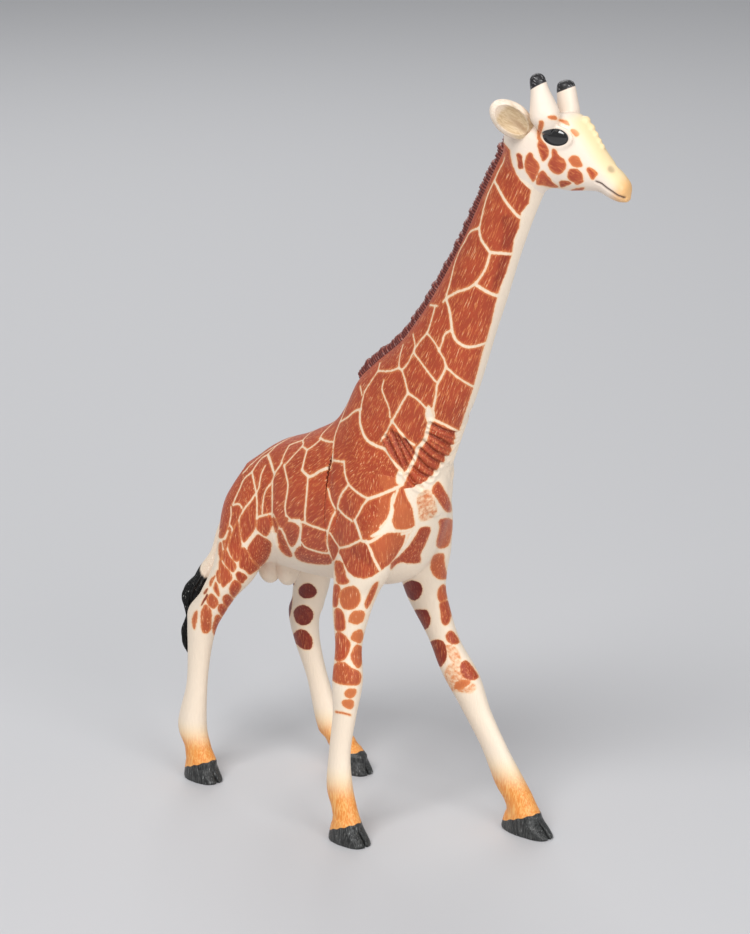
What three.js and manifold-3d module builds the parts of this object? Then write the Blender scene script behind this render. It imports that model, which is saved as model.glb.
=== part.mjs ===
// Reticulated giraffe figurine: a solid soft-plastic animal 16 cm tall, caught in mid stride.
// It is cast as eleven pieces that plug into one another and are glued, so nothing moves.
// Millimetres. +X points to the nose, +Y to the animal's left, +Z up, and the soles stand on Z = 0.
// Shares in the tables below are shares of the named size that their comment gives.

import * as THREE from 'three';
import { mergeVertices } from 'three/addons/utils/BufferGeometryUtils.js';
import Module from 'manifold-3d';

const wasm = await Module();
wasm.setup();

// Trunk sizes
const hindTrunkLength = 39;
const foreTrunkLength = 20.5;
const trunkWidth = 22;
const trunkDepth = 37;
const bellyHeight = 47.5;
const groinLumpRadius = 2.6;
const groinLumpDrop = 3.6;

// Neck, mane and head sizes
const neckReach = 44;
const neckRise = 84;
const neckWidth = 16;
const neckFootAboveBelly = 18.5;
const neckFootAheadOfSeam = 9.5;
const neckSeamAboveFoot = 12;
const neckSeamSlopeDegrees = 20;
const maneHeight = 1.7;
const maneThickness = 1.7;
const headLength = 24;
const headDepth = 14;
const headWidth = 9.2;
const headYawDegrees = 15;
const headPitchDegrees = 27;
const hornRightLength = 11.2;
const hornLeftLength = 8.5;
const hornRadius = 1.6;
const hornSpread = 8.4;
const earLength = 10.8;
const earWidth = 6.2;
const earThickness = 3.2;
const earWall = 0.8;
const eyeLength = 5.6;

// Leg, hoof and tail sizes
const shoulderAboveBelly = 26.5;
const hipAboveBelly = 20.5;
const shoulderAheadOfSeam = 13;
const hipAheadOfRump = 11.5;
const foreLegDepth = 14;
const foreLegWidth = 8;
const hindLegDepth = 15;
const hindLegWidth = 9.2;
const stanceWidth = 29.2;
const leadLegBulk = 1.14;
const foreHoofLength = 9.4;
const leadHoofLength = 12.2;
const hindHoofLength = 8.8;
const trailHoofLength = 10.3;
const hoofWidth = 5.8;
const hoofHeight = 4;
const toeCleftWidth = 0.5;
const tailDrop = 34;
const tailSwing = 9.5;
const tuftRadius = 2.2;

// Glued joints: pegs, their sockets and the hairline between pieces
const bodyPegRadius = 4;
const bodyPegLength = 7;
const neckPegRadius = 3.4;
const neckPegLength = 7;
const headPegRadius = 1.9;
const headPegLength = 5;
const legPegRadius = 2;
const legPegLength = 6;
const earPegRadius = 0.6;
const earPegLength = 3.6;
const tailPegRadius = 1;
const tailPegLength = 5;
const glueGap = 0.3;

// Places that several pieces share. X is counted from the seam between the halves of the trunk.
const trunkLength = hindTrunkLength + foreTrunkLength;
const seamX = 0;
const rumpX = seamX - hindTrunkLength;
const neckFootHeight = bellyHeight + neckFootAboveBelly;
const shoulderHeight = bellyHeight + shoulderAboveBelly;
const hipHeight = bellyHeight + hipAboveBelly;
const bodyPegHeightShare = 0.36;
const bodyPegHeight = bellyHeight + trunkDepth * bodyPegHeightShare;

// How finely the skins are drawn: rings made from each row of a table, and points round a ring
const ringsPerRow = 2;
const sideCounts = {
  trunk: 24,
  neck: 18,
  mane: 10,
  skull: 20,
  horn: 12,
  leg: 14,
  hoof: 20,
  cleft: 6,
  tail: 12,
  peg: 12,
};

// Trunk sections from rump to chest. Shares of trunkLength, trunkDepth, trunkDepth and trunkWidth:
// place along the back, top line above the belly, bottom line above the belly, breadth.
const trunkShares = [
  [0.0, 0.25, 0.17, 0.1],
  [0.015, 0.33, 0.1, 0.34],
  [0.05, 0.41, 0.05, 0.52],
  [0.105, 0.49, 0.02, 0.66],
  [0.185, 0.625, 0.0, 0.78],
  [0.28, 0.725, 0.0, 0.88],
  [0.395, 0.8, 0.0, 0.95],
  [0.525, 0.9, 0.015, 1.0],
  [0.655, 0.955, 0.04, 0.98],
  [0.765, 0.985, 0.07, 0.93],
  [0.865, 0.96, 0.13, 0.82],
  [0.935, 0.89, 0.24, 0.66],
  [0.98, 0.8, 0.43, 0.44],
  [1.0, 0.68, 0.56, 0.14],
];

// Neck sections from the chest to the back of the skull, each spanned by a point on the nape line
// and a point on the throat line. Shares of neckReach and neckRise from the neck's foot, and of
// neckWidth: nape reach, nape rise, throat reach, throat rise, breadth. The mane's span is a share
// of the way up the nape.
const neckShares = [
  [-0.31, 0.14, 0.15, 0.0, 0.86],
  [-0.275, 0.23, 0.235, 0.06, 0.98],
  [-0.21, 0.305, 0.315, 0.155, 0.96],
  [-0.1, 0.36, 0.385, 0.24, 0.9],
  [0.055, 0.425, 0.455, 0.315, 0.82],
  [0.165, 0.49, 0.52, 0.4, 0.74],
  [0.265, 0.56, 0.585, 0.49, 0.66],
  [0.365, 0.64, 0.655, 0.58, 0.6],
  [0.46, 0.725, 0.72, 0.67, 0.54],
  [0.545, 0.81, 0.79, 0.755, 0.5],
  [0.63, 0.89, 0.86, 0.83, 0.48],
  [0.7, 0.95, 0.93, 0.89, 0.46],
  [0.76, 0.995, 0.92, 0.955, 0.34],
];
const maneSpanShares = [0.21, 0.92];

// Head sections from the back of the skull to the lips, on the head's own axis. Shares of
// headLength, headDepth, headDepth and headWidth: place along the axis, top, bottom, breadth.
const headShares = [
  [-0.14, 0.0, -0.16, 0.3],
  [-0.08, 0.12, -0.3, 0.66],
  [0.04, 0.29, -0.4, 0.88],
  [0.16, 0.44, -0.43, 0.96],
  [0.28, 0.6, -0.42, 1.0],
  [0.4, 0.615, -0.42, 0.96],
  [0.52, 0.52, -0.37, 0.84],
  [0.64, 0.41, -0.24, 0.7],
  [0.76, 0.325, -0.12, 0.62],
  [0.87, 0.265, -0.1, 0.58],
  [0.95, 0.2, -0.07, 0.46],
  [1.0, 0.05, -0.02, 0.18],
];

// Knobs along the middle of the forehead and nose: shares of headLength, headDepth and headWidth
// for place along, height and radius.
const knobShares = [
  [0.4, 0.595, 0.1],
  [0.465, 0.555, 0.085],
  [0.52, 0.51, 0.07],
  [0.57, 0.465, 0.06],
  [0.615, 0.43, 0.05],
];

// Leg thickness at twelve stations from the top of the limb down to the hoof. Shares of the
// leg's depth, depth and width: ahead of the middle, behind it, breadth.
const foreLegGirthShares = [
  [0.2, 0.32, 0.45],
  [0.27, 0.55, 0.85],
  [0.29, 0.57, 1.0],
  [0.3, 0.42, 0.96],
  [0.3, 0.31, 0.78],
  [0.21, 0.21, 0.6],
  [0.255, 0.215, 0.7],
  [0.18, 0.205, 0.5],
  [0.165, 0.195, 0.44],
  [0.185, 0.24, 0.55],
  [0.185, 0.215, 0.56],
  [0.195, 0.225, 0.62],
];
const hindLegRightGirthShares = [
  [0.3, 0.3, 0.43],
  [0.46, 0.45, 0.8],
  [0.5, 0.38, 0.96],
  [0.39, 0.29, 0.9],
  [0.28, 0.25, 0.75],
  [0.24, 0.37, 0.65],
  [0.2, 0.29, 0.58],
  [0.175, 0.2, 0.46],
  [0.17, 0.165, 0.41],
  [0.205, 0.27, 0.54],
  [0.205, 0.185, 0.54],
  [0.205, 0.23, 0.58],
];
const hindLegLeftGirthShares = [
  [0.3, 0.3, 0.43],
  [0.46, 0.45, 0.8],
  [0.5, 0.39, 0.96],
  [0.39, 0.34, 0.9],
  [0.29, 0.29, 0.74],
  [0.23, 0.26, 0.64],
  [0.215, 0.27, 0.6],
  [0.19, 0.22, 0.5],
  [0.17, 0.165, 0.42],
  [0.195, 0.22, 0.52],
  [0.18, 0.2, 0.52],
  [0.19, 0.22, 0.56],
];

// The line of each leg at the same stations. Shares of the leg's height for the first two and
// of the way from the root of the leg out to the stance: height, step ahead of the root, out.
const foreLegRightShares = [
  [1.0, 0.0, 0.0],
  [0.89, 0.005, 0.28],
  [0.785, -0.015, 0.37],
  [0.705, -0.055, 0.45],
  [0.635, -0.07, 0.58],
  [0.54, -0.071, 0.66],
  [0.445, -0.068, 0.74],
  [0.35, -0.065, 0.82],
  [0.245, -0.072, 0.91],
  [0.15, -0.063, 0.97],
  [0.095, -0.045, 0.99],
  [0.054, -0.03, 1.0],
];
const foreLegLeftShares = [
  [1.0, -0.02, 0.0],
  [0.89, -0.012, 0.22],
  [0.785, -0.03, 0.3],
  [0.695, -0.058, 0.38],
  [0.62, -0.062, 0.46],
  [0.505, -0.018, 0.63],
  [0.41, 0.033, 0.73],
  [0.315, 0.091, 0.81],
  [0.222, 0.154, 0.87],
  [0.128, 0.212, 0.95],
  [0.088, 0.238, 0.98],
  [0.054, 0.257, 1.0],
];
const hindLegRightShares = [
  [1.0, 0.05, -0.1],
  [0.91, 0.035, 0.08],
  [0.81, 0.0, 0.2],
  [0.69, -0.03, 0.36],
  [0.605, -0.074, 0.53],
  [0.54, -0.103, 0.64],
  [0.485, -0.121, 0.7],
  [0.4, -0.134, 0.73],
  [0.295, -0.143, 0.77],
  [0.165, -0.151, 0.83],
  [0.1, -0.133, 0.84],
  [0.059, -0.111, 0.85],
];
const hindLegLeftShares = [
  [1.0, 0.05, -0.1],
  [0.91, 0.035, 0.08],
  [0.81, 0.02, 0.2],
  [0.69, 0.028, 0.33],
  [0.605, 0.03, 0.43],
  [0.53, 0.008, 0.5],
  [0.465, -0.018, 0.56],
  [0.385, -0.012, 0.6],
  [0.272, 0.02, 0.67],
  [0.135, 0.07, 0.73],
  [0.088, 0.112, 0.77],
  [0.055, 0.15, 0.79],
];

// Hoof sections from the coronet to the sole. Shares of hoofHeight, hoofLength, hoofLength and
// hoofWidth: height, heel behind the middle, toe ahead of it, breadth.
const hoofShares = [
  [1.12, 0.33, 0.15, 0.76],
  [0.86, 0.39, 0.26, 0.87],
  [0.5, 0.43, 0.42, 0.96],
  [0.14, 0.46, 0.54, 1.0],
  [0.0, 0.44, 0.53, 0.97],
];
const hoofFullness = 0.72;
const cleftMiddleShare = 0.55;
const cleftReachShare = 0.3;

// Tail line from its root down to the tip of the tuft. Shares of tailDrop, tailSwing, tailSwing
// and tuftRadius: fall, behind the root, out to the right, radius.
const tailShares = [
  [-0.06, -0.3, 0.0, 0.5],
  [0.08, 0.12, 0.06, 0.62],
  [0.22, 0.3, 0.2, 0.6],
  [0.36, 0.33, 0.4, 0.56],
  [0.48, 0.32, 0.6, 0.94],
  [0.6, 0.485, 0.8, 1.25],
  [0.72, 0.5, 0.92, 1.15],
  [0.84, 0.49, 0.98, 0.9],
  [0.94, 0.47, 1.0, 0.6],
  [1.0, 0.46, 1.0, 0.25],
];
const tailRootHeightShare = 0.3;
const tailRootInsetShare = 0.8;

// Materials
const coatMaterial = new THREE.MeshStandardMaterial({ color: 0xa9532f, roughness: 0.55, metalness: 0 });
const creamMaterial = new THREE.MeshStandardMaterial({ color: 0xeee0cb, roughness: 0.5, metalness: 0 });
const tuftMaterial = new THREE.MeshStandardMaterial({ color: 0x2a2624, roughness: 0.5, metalness: 0 });

// Solids from closed meshes
function toSolid(geometry) {
  const bare = geometry.clone();
  bare.deleteAttribute('normal');
  bare.deleteAttribute('uv');
  const merged = mergeVertices(bare);
  return new wasm.Manifold(new wasm.Mesh({
    numProp: 3,
    vertProperties: new Float32Array(merged.attributes.position.array),
    triVerts: new Uint32Array(merged.index.array),
  }));
}

function toGeometry(solid) {
  const mesh = solid.getMesh();
  const geometry = new THREE.BufferGeometry();
  geometry.setAttribute('position', new THREE.BufferAttribute(new Float32Array(mesh.vertProperties), 3));
  geometry.setIndex(new THREE.BufferAttribute(new Uint32Array(mesh.triVerts), 1));
  return geometry;
}

// The biggest body of a solid, without the crumbs that a cut can leave
function largestBody(solid) {
  const bodies = solid.decompose();
  return bodies.reduce((best, body) => (body.volume() > best.volume() ? body : best));
}

// A closed skin over rings of points that all run the same way round, capped by fans
function skinOverRings(rings) {
  const sides = rings[0].length;
  const positions = rings.flat().flatMap((point) => [point.x, point.y, point.z]);
  const indices = [];
  for (let ring = 0; ring + 1 < rings.length; ring += 1) {
    for (let side = 0; side < sides; side += 1) {
      const next = (side + 1) % sides;
      const a = ring * sides + side;
      const b = ring * sides + next;
      indices.push(a, b, a + sides, b, b + sides, a + sides);
    }
  }
  [[0, -1], [rings.length - 1, 1]].forEach(([ring, way]) => {
    const middle = new THREE.Vector3();
    rings[ring].forEach((point) => middle.addScaledVector(point, 1 / sides));
    const hub = positions.length / 3;
    positions.push(middle.x, middle.y, middle.z);
    for (let side = 0; side < sides; side += 1) {
      const a = ring * sides + side;
      const b = ring * sides + ((side + 1) % sides);
      indices.push(...(way > 0 ? [a, b, hub] : [b, a, hub]));
    }
  });
  const geometry = new THREE.BufferGeometry();
  geometry.setAttribute('position', new THREE.Float32BufferAttribute(positions, 3));
  geometry.setIndex(indices);
  const solid = toSolid(geometry);
  return solid.volume() > 0 ? solid : toSolid(flipped(geometry));
}

function flipped(geometry) {
  const turned = geometry.clone();
  const index = Array.from(turned.index.array);
  for (let corner = 0; corner < index.length; corner += 3) {
    [index[corner], index[corner + 1]] = [index[corner + 1], index[corner]];
  }
  turned.setIndex(index);
  return turned;
}

// An oval ring: half breadth along side, and its own half depth ahead of and behind the middle.
// A fullness under one swells the oval towards its box.
function ovalRing(middle, side, ahead, behind, sides, fullness = 1) {
  const steps = Math.round(sides);
  return Array.from({ length: steps }, (_, step) => {
    const angle = (step / steps) * Math.PI * 2;
    const across = Math.sign(Math.cos(angle)) * Math.abs(Math.cos(angle)) ** fullness;
    const depth = Math.sin(angle) > 0 ? ahead : behind;
    return middle.clone()
      .addScaledVector(side, across)
      .addScaledVector(depth, Math.abs(Math.sin(angle)) ** fullness);
  });
}

// Rows of numbers made finer by a smooth curve through each column
function smoothRows(rows) {
  const columns = rows[0].map((_, column) => new THREE.CatmullRomCurve3(
    rows.map((row) => new THREE.Vector3(row[column], 0, 0)),
    false,
    'catmullrom',
  ));
  const steps = Math.round((rows.length - 1) * ringsPerRow);
  return Array.from({ length: steps + 1 }, (_, step) => (
    columns.map((curve) => curve.getPoint(step / steps).x)
  ));
}

function blob(center, radii) {
  const ball = new THREE.SphereGeometry(1, 12, 7);
  ball.scale(radii.x, radii.y, radii.z);
  ball.translate(center.x, center.y, center.z);
  return toSolid(ball);
}

// A round peg that starts one radius behind its root, inside the piece that carries it, and
// reaches its length ahead of it. With grow it is the socket that takes the peg.
function peg(root, direction, length, radius, grow = 0) {
  const way = direction.clone().normalize();
  const reach = length + radius + grow * 2;
  const rod = new THREE.CylinderGeometry(radius + grow, radius + grow, reach, sideCounts.peg);
  rod.applyQuaternion(new THREE.Quaternion().setFromUnitVectors(new THREE.Vector3(0, 1, 0), way));
  const middle = root.clone().addScaledVector(way, (length - radius) / 2);
  rod.translate(middle.x, middle.y, middle.z);
  return toSolid(rod);
}

// Trunk, whole, before it is parted at the seam
function trunkBody(grow = 0) {
  const rings = smoothRows(trunkShares).map(([along, top, bottom, breadth]) => {
    const high = bellyHeight + top * trunkDepth;
    const low = bellyHeight + bottom * trunkDepth;
    const middle = new THREE.Vector3(rumpX + along * trunkLength, 0, (high + low) / 2);
    const side = new THREE.Vector3(0, (breadth * trunkWidth) / 2 + grow, 0);
    const up = new THREE.Vector3(0, 0, (high - low) / 2 + grow);
    return ovalRing(middle, side, up, up.clone().negate(), sideCounts.trunk);
  });
  rings[0].forEach((point) => point.setX(point.x - grow));
  rings[rings.length - 1].forEach((point) => point.setX(point.x + grow));
  return skinOverRings(rings);
}

// Neck: each section spans from the nape line to the throat line
const neckFoot = new THREE.Vector3(seamX + neckFootAheadOfSeam, 0, neckFootHeight);

function neckStations() {
  return smoothRows(neckShares).map(([napeReach, napeRise, throatReach, throatRise, breadth]) => ({
    nape: new THREE.Vector3(napeReach * neckReach, 0, napeRise * neckRise).add(neckFoot),
    throat: new THREE.Vector3(throatReach * neckReach, 0, throatRise * neckRise).add(neckFoot),
    breadth: (breadth * neckWidth) / 2,
  }));
}

function neckBody(grow = 0) {
  const rings = neckStations().map(({ nape, throat, breadth }) => {
    const middle = nape.clone().lerp(throat, 0.5);
    const side = new THREE.Vector3(0, breadth + grow, 0);
    const ahead = throat.clone().sub(middle);
    ahead.setLength(ahead.length() + grow);
    return ovalRing(middle, side, ahead, ahead.clone().negate(), sideCounts.neck);
  });
  return skinOverRings(rings);
}

// Mane: an upright crest along the nape, from the withers to the poll
function mane() {
  const nape = neckStations().map((station) => station.nape);
  const [first, last] = maneSpanShares.map((share) => Math.round(share * (nape.length - 1)));
  const rings = nape.slice(first, last + 1).map((point, index) => {
    const before = nape[first + index - 1];
    const after = nape[first + index + 1];
    const along = after.clone().sub(before).normalize();
    const away = new THREE.Vector3(-along.z, 0, along.x).multiplyScalar(maneHeight);
    const side = new THREE.Vector3(0, maneThickness / 2, 0);
    return ovalRing(point, side, away, away.clone().negate(), sideCounts.mane);
  });
  return skinOverRings(rings);
}

// Head frame: the axis runs from the back of the skull to the lips
const headYaw = THREE.MathUtils.degToRad(headYawDegrees);
const headPitch = THREE.MathUtils.degToRad(headPitchDegrees);
const headForward = new THREE.Vector3(
  Math.cos(headPitch) * Math.cos(headYaw),
  Math.cos(headPitch) * Math.sin(headYaw),
  -Math.sin(headPitch),
);
const headLeft = new THREE.Vector3(-Math.sin(headYaw), Math.cos(headYaw), 0);
const headUp = headForward.clone().cross(headLeft);
const headRootShares = { reach: 0.779, rise: 0.976 };
const headRoot = new THREE.Vector3(
  headRootShares.reach * neckReach,
  0,
  headRootShares.rise * neckRise,
).add(neckFoot);

function inHead(alongShare, leftShare, upShare) {
  return headRoot.clone()
    .addScaledVector(headForward, alongShare * headLength)
    .addScaledVector(headLeft, leftShare * headWidth)
    .addScaledVector(headUp, upShare * headDepth);
}

function skull(grow = 0) {
  const rings = smoothRows(headShares).map(([along, top, bottom, breadth]) => {
    const middle = inHead(along, 0, (top + bottom) / 2);
    const side = headLeft.clone().multiplyScalar((breadth * headWidth) / 2 + grow);
    const up = headUp.clone().multiplyScalar(((top - bottom) * headDepth) / 2 + grow);
    return ovalRing(middle, side, up, up.clone().negate(), sideCounts.skull);
  });
  return skinOverRings(rings);
}

// Horn: a skin-covered cone with a round knob at its end. The right one flares more at its foot.
// Shares of its length and hornRadius: height, radius of the right horn, radius of the left one.
const hornShares = [
  [0.0, 0.7, 0.7],
  [0.14, 1.35, 1.1],
  [0.3, 1.75, 1.32],
  [0.5, 1.47, 1.24],
  [0.7, 1.1, 1.16],
  [0.82, 0.98, 1.1],
  [0.92, 0.86, 0.96],
  [0.975, 0.56, 0.64],
  [1.0, 0.2, 0.2],
];
const hornRootShares = { along: 0.24, up: 0.285 };
const hornRight = { way: -1, length: hornRightLength, leanShare: 0.88 };
const hornLeft = { way: 1, length: hornLeftLength, leanShare: 0.7 };

function horn({ way, length, leanShare }) {
  const root = inHead(hornRootShares.along, 0, hornRootShares.up)
    .addScaledVector(headLeft, (way * hornSpread) / 2);
  const up = headUp.clone().addScaledVector(headForward, -leanShare).normalize();
  const ahead = headForward.clone().addScaledVector(up, -headForward.dot(up)).normalize();
  const rings = hornShares.map(([height, rightBreadth, leftBreadth]) => {
    const breadth = way > 0 ? leftBreadth : rightBreadth;
    const middle = root.clone().addScaledVector(up, height * length);
    const radius = breadth * hornRadius;
    const depth = ahead.clone().multiplyScalar(radius);
    const side = headLeft.clone().multiplyScalar(radius);
    return ovalRing(middle, side, depth, depth.clone().negate(), sideCounts.horn);
  });
  return skinOverRings(rings);
}

// Eye: a low dome on each side. Shares of the head's sizes for its place, of its length for its size.
const eyePlaceShares = [0.31, 0.42, 0.305];
const eyeSizeShares = [1, 0.55, 0.68];

function eye(way) {
  const [along, out, up] = eyePlaceShares;
  const radii = new THREE.Vector3(...eyeSizeShares).multiplyScalar(eyeLength / 2);
  return blob(inHead(along, way * out, up), radii);
}

function headBody() {
  const knobs = knobShares.map(([along, up, radius]) => (
    blob(inHead(along, 0, up), new THREE.Vector3(1, 1, 1).multiplyScalar(radius * headWidth))
  ));
  return [horn(hornRight), horn(hornLeft), eye(-1), eye(1), ...knobs]
    .reduce((head, piece) => head.add(piece), skull());
}

// Ear: a leaf hollowed on the side that listens, its root in the skull
const earRootShares = [0.09, 0.3, 0.07];
const earTiltShares = { left: [-0.45, 0.85, -0.1], right: [-0.62, 0.7, 0.4] };
const earFacingShare = 0.45;
const cupMiddleShare = 0.5;
const hollowShares = { length: 0.64, middle: 0.62 };
const earPegShare = 0.25;

function earRoot(way) {
  return inHead(earRootShares[0], way * earRootShares[1], earRootShares[2]);
}

function earAxis(way) {
  const [ahead, out, up] = way > 0 ? earTiltShares.left : earTiltShares.right;
  return new THREE.Vector3()
    .addScaledVector(headForward, ahead)
    .addScaledVector(headLeft, way * out)
    .addScaledVector(headUp, up)
    .normalize();
}

function leaf(way, length, width, thickness, alongShare, lift) {
  const axis = earAxis(way);
  const facing = headForward.clone().addScaledVector(headLeft, way * earFacingShare);
  facing.addScaledVector(axis, -facing.dot(axis)).normalize();
  const across = facing.clone().cross(axis);
  const ball = new THREE.SphereGeometry(1, 14, 9);
  ball.scale(width / 2, thickness / 2, length / 2);
  ball.applyMatrix4(new THREE.Matrix4().makeBasis(across, facing, axis));
  const center = earRoot(way)
    .addScaledVector(axis, earLength * alongShare)
    .addScaledVector(facing, lift);
  ball.translate(center.x, center.y, center.z);
  return toSolid(ball);
}

function earBody(way) {
  const cup = leaf(way, earLength, earWidth, earThickness, cupMiddleShare, 0);
  const hollowLength = earLength * hollowShares.length;
  const hollowWidth = earWidth - earWall * 2;
  const hollow = leaf(way, hollowLength, hollowWidth, earThickness, hollowShares.middle, earWall * 2);
  return cup.subtract(hollow);
}

function earPeg(way, grow = 0) {
  const root = earRoot(way).addScaledVector(earAxis(way), earLength * earPegShare);
  return peg(root, earAxis(way).negate(), earPegLength, earPegRadius, grow);
}

// Legs
const foreLeg = {
  height: shoulderHeight,
  rootX: seamX + shoulderAheadOfSeam,
  depth: foreLegDepth,
  width: foreLegWidth,
  girthShares: foreLegGirthShares,
  bulk: 1,
};
const hindLeg = {
  height: hipHeight,
  rootX: rumpX + hipAheadOfRump,
  depth: hindLegDepth,
  width: hindLegWidth,
  hoofLength: hindHoofLength,
  bulk: 1,
};
const legs = {
  foreleg_right: { ...foreLeg, way: -1, lineShares: foreLegRightShares, hoofLength: foreHoofLength },
  foreleg_left: {
    ...foreLeg,
    way: 1,
    lineShares: foreLegLeftShares,
    hoofLength: leadHoofLength,
    bulk: leadLegBulk,
  },
  hindleg_right: {
    ...hindLeg,
    way: -1,
    lineShares: hindLegRightShares,
    girthShares: hindLegRightGirthShares,
  },
  hindleg_left: {
    ...hindLeg,
    way: 1,
    lineShares: hindLegLeftShares,
    girthShares: hindLegLeftGirthShares,
    hoofLength: trailHoofLength,
  },
};
const legRootOutShare = 0.5;

function legPoint(leg, [heightShare, aheadShare, outShare]) {
  const rootOut = (legRootOutShare * trunkWidth) / 2;
  const out = rootOut + (stanceWidth / 2 - rootOut) * outShare;
  return new THREE.Vector3(
    leg.rootX + aheadShare * leg.height,
    leg.way * out,
    heightShare * leg.height,
  );
}

function limb(leg, grow = 0) {
  const rows = smoothRows(leg.lineShares.map((line, index) => [...line, ...leg.girthShares[index]]));
  const middles = rows.map((row) => legPoint(leg, row));
  const rings = rows.map(([, , , aheadShare, behindShare, breadthShare], index) => {
    const bulk = THREE.MathUtils.lerp(1, leg.bulk, Math.min(1, (index * 2) / rows.length));
    const before = middles[Math.max(index - 1, 0)];
    const after = middles[Math.min(index + 1, middles.length - 1)];
    const down = after.clone().sub(before).normalize();
    const side = new THREE.Vector3(0, 1, 0);
    side.addScaledVector(down, -side.dot(down)).normalize();
    const ahead = side.clone().cross(down).normalize();
    if (ahead.x < 0) ahead.negate();
    return ovalRing(
      middles[index],
      side.multiplyScalar((breadthShare * leg.width * bulk) / 2 + grow),
      ahead.clone().multiplyScalar(aheadShare * leg.depth * bulk + grow),
      ahead.clone().multiplyScalar(-behindShare * leg.depth * bulk - grow),
      sideCounts.leg,
    );
  });
  return skinOverRings(rings);
}

// Hoof: a low wedge with a flat sole and the cleft between its two toes
function hoof(leg) {
  const ankle = legPoint(leg, leg.lineShares[leg.lineShares.length - 1]);
  const rings = hoofShares.map(([height, heel, toe, breadth]) => ovalRing(
    new THREE.Vector3(ankle.x, ankle.y, height * hoofHeight),
    new THREE.Vector3(0, (breadth * hoofWidth) / 2, 0),
    new THREE.Vector3(toe * leg.hoofLength, 0, 0),
    new THREE.Vector3(-heel * leg.hoofLength, 0, 0),
    sideCounts.hoof,
    hoofFullness,
  ));
  const cleft = new THREE.CylinderGeometry(1, 1, hoofHeight * 2, sideCounts.cleft);
  cleft.scale(cleftReachShare * leg.hoofLength, 1, toeCleftWidth / 2);
  cleft.rotateX(Math.PI / 2);
  cleft.translate(ankle.x + leg.hoofLength * cleftMiddleShare, ankle.y, 0);
  return skinOverRings(rings).subtract(toSolid(cleft));
}

// The leg's peg starts from the third station of its line and points across the trunk
function legPeg(leg, grow = 0) {
  const [, , pegLine] = leg.lineShares;
  const inward = new THREE.Vector3(0, -leg.way, 0);
  return peg(legPoint(leg, pegLine), inward, legPegLength, legPegRadius, grow);
}

function legBody(leg, carrier) {
  const shank = limb(leg).add(hoof(leg));
  return largestBody(shank.subtract(carrier)).add(legPeg(leg));
}

// Tail: a thin stalk that swings to the right and ends in a tuft
const tailRoot = new THREE.Vector3(
  rumpX + tailRootInsetShare * tuftRadius,
  0,
  bellyHeight + tailRootHeightShare * trunkDepth,
);

function tailPoint([fall, behind, out]) {
  return new THREE.Vector3(-behind * tailSwing, -out * tailSwing, -fall * tailDrop).add(tailRoot);
}

function tailBody() {
  const line = smoothRows(tailShares).map((row) => ({
    middle: tailPoint(row),
    radius: row[row.length - 1] * tuftRadius,
  }));
  const rings = line.map(({ middle, radius }, index) => {
    const before = line[Math.max(index - 1, 0)].middle;
    const after = line[Math.min(index + 1, line.length - 1)].middle;
    const down = after.clone().sub(before).normalize();
    const side = new THREE.Vector3(0, 1, 0).addScaledVector(down, -down.y).normalize();
    const ahead = side.clone().cross(down).multiplyScalar(radius);
    return ovalRing(middle, side.multiplyScalar(radius), ahead, ahead.clone().negate(), sideCounts.tail);
  });
  return skinOverRings(rings);
}

// The tail's peg starts from the third station of its line and points back at the root
function tailPeg(grow = 0) {
  const [, , pegRow] = tailShares;
  const root = tailPoint(pegRow);
  return peg(root, tailRoot.clone().sub(root), tailPegLength, tailPegRadius, grow);
}

// Assembly: the seams part the body into hindquarters, forequarters and neck. Every other piece
// is cut by what carries it, and its peg enters a socket there.
const whole = trunkBody().add(neckBody());
const grownWhole = trunkBody(glueGap).add(neckBody(glueGap));
const farAway = trunkLength + neckRise;
const bodyPegRoot = new THREE.Vector3(seamX, 0, bodyPegHeight);
const forward = new THREE.Vector3(1, 0, 0);
const neckSeamSlope = THREE.MathUtils.degToRad(neckSeamSlopeDegrees);
const neckSeamUp = new THREE.Vector3(Math.sin(neckSeamSlope), 0, Math.cos(neckSeamSlope));
const neckSeamMiddle = new THREE.Vector3(neckFoot.x, 0, neckFootHeight + neckSeamAboveFoot);

// A block that fills the space on one side of a flat seam, starting a step away from it
function beyondSeam(point, away, step) {
  const block = new THREE.BoxGeometry(farAway * 2, farAway * 2, farAway * 2);
  block.translate(0, 0, farAway + step);
  block.applyQuaternion(new THREE.Quaternion().setFromUnitVectors(new THREE.Vector3(0, 0, 1), away));
  block.translate(point.x, point.y, point.z);
  return toSolid(block);
}

const aboveNeckSeam = beyondSeam(neckSeamMiddle, neckSeamUp, 0);
const belowNeckSeam = beyondSeam(neckSeamMiddle, neckSeamUp.clone().negate(), glueGap);
const aheadOfBodySeam = beyondSeam(bodyPegRoot, forward, 0);
const behindBodySeam = beyondSeam(bodyPegRoot, forward.clone().negate(), glueGap);

const legSockets = Object.values(legs).map((leg) => legPeg(leg, glueGap));

const neckPegDirection = neckSeamUp.clone().negate();
const neckPeg = (grow) => peg(neckSeamMiddle, neckPegDirection, neckPegLength, neckPegRadius, grow);

const headPegDropShare = 0.2;
const headPegLeanShares = { reach: 0.12, rise: 0.16 };
const headPegRoot = headRoot.clone().addScaledVector(headUp, -headDepth * headPegDropShare);
const headPegDirection = new THREE.Vector3(
  -neckReach * headPegLeanShares.reach,
  0,
  -neckRise * headPegLeanShares.rise,
).normalize();
const headPeg = (grow) => peg(headPegRoot, headPegDirection, headPegLength, headPegRadius, grow);

const groinLumpPlaceShare = 0.225;
const groinLump = blob(
  new THREE.Vector3(rumpX + trunkLength * groinLumpPlaceShare, 0, bellyHeight - groinLumpDrop / 3),
  new THREE.Vector3(groinLumpRadius, groinLumpRadius, groinLumpDrop),
);

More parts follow.
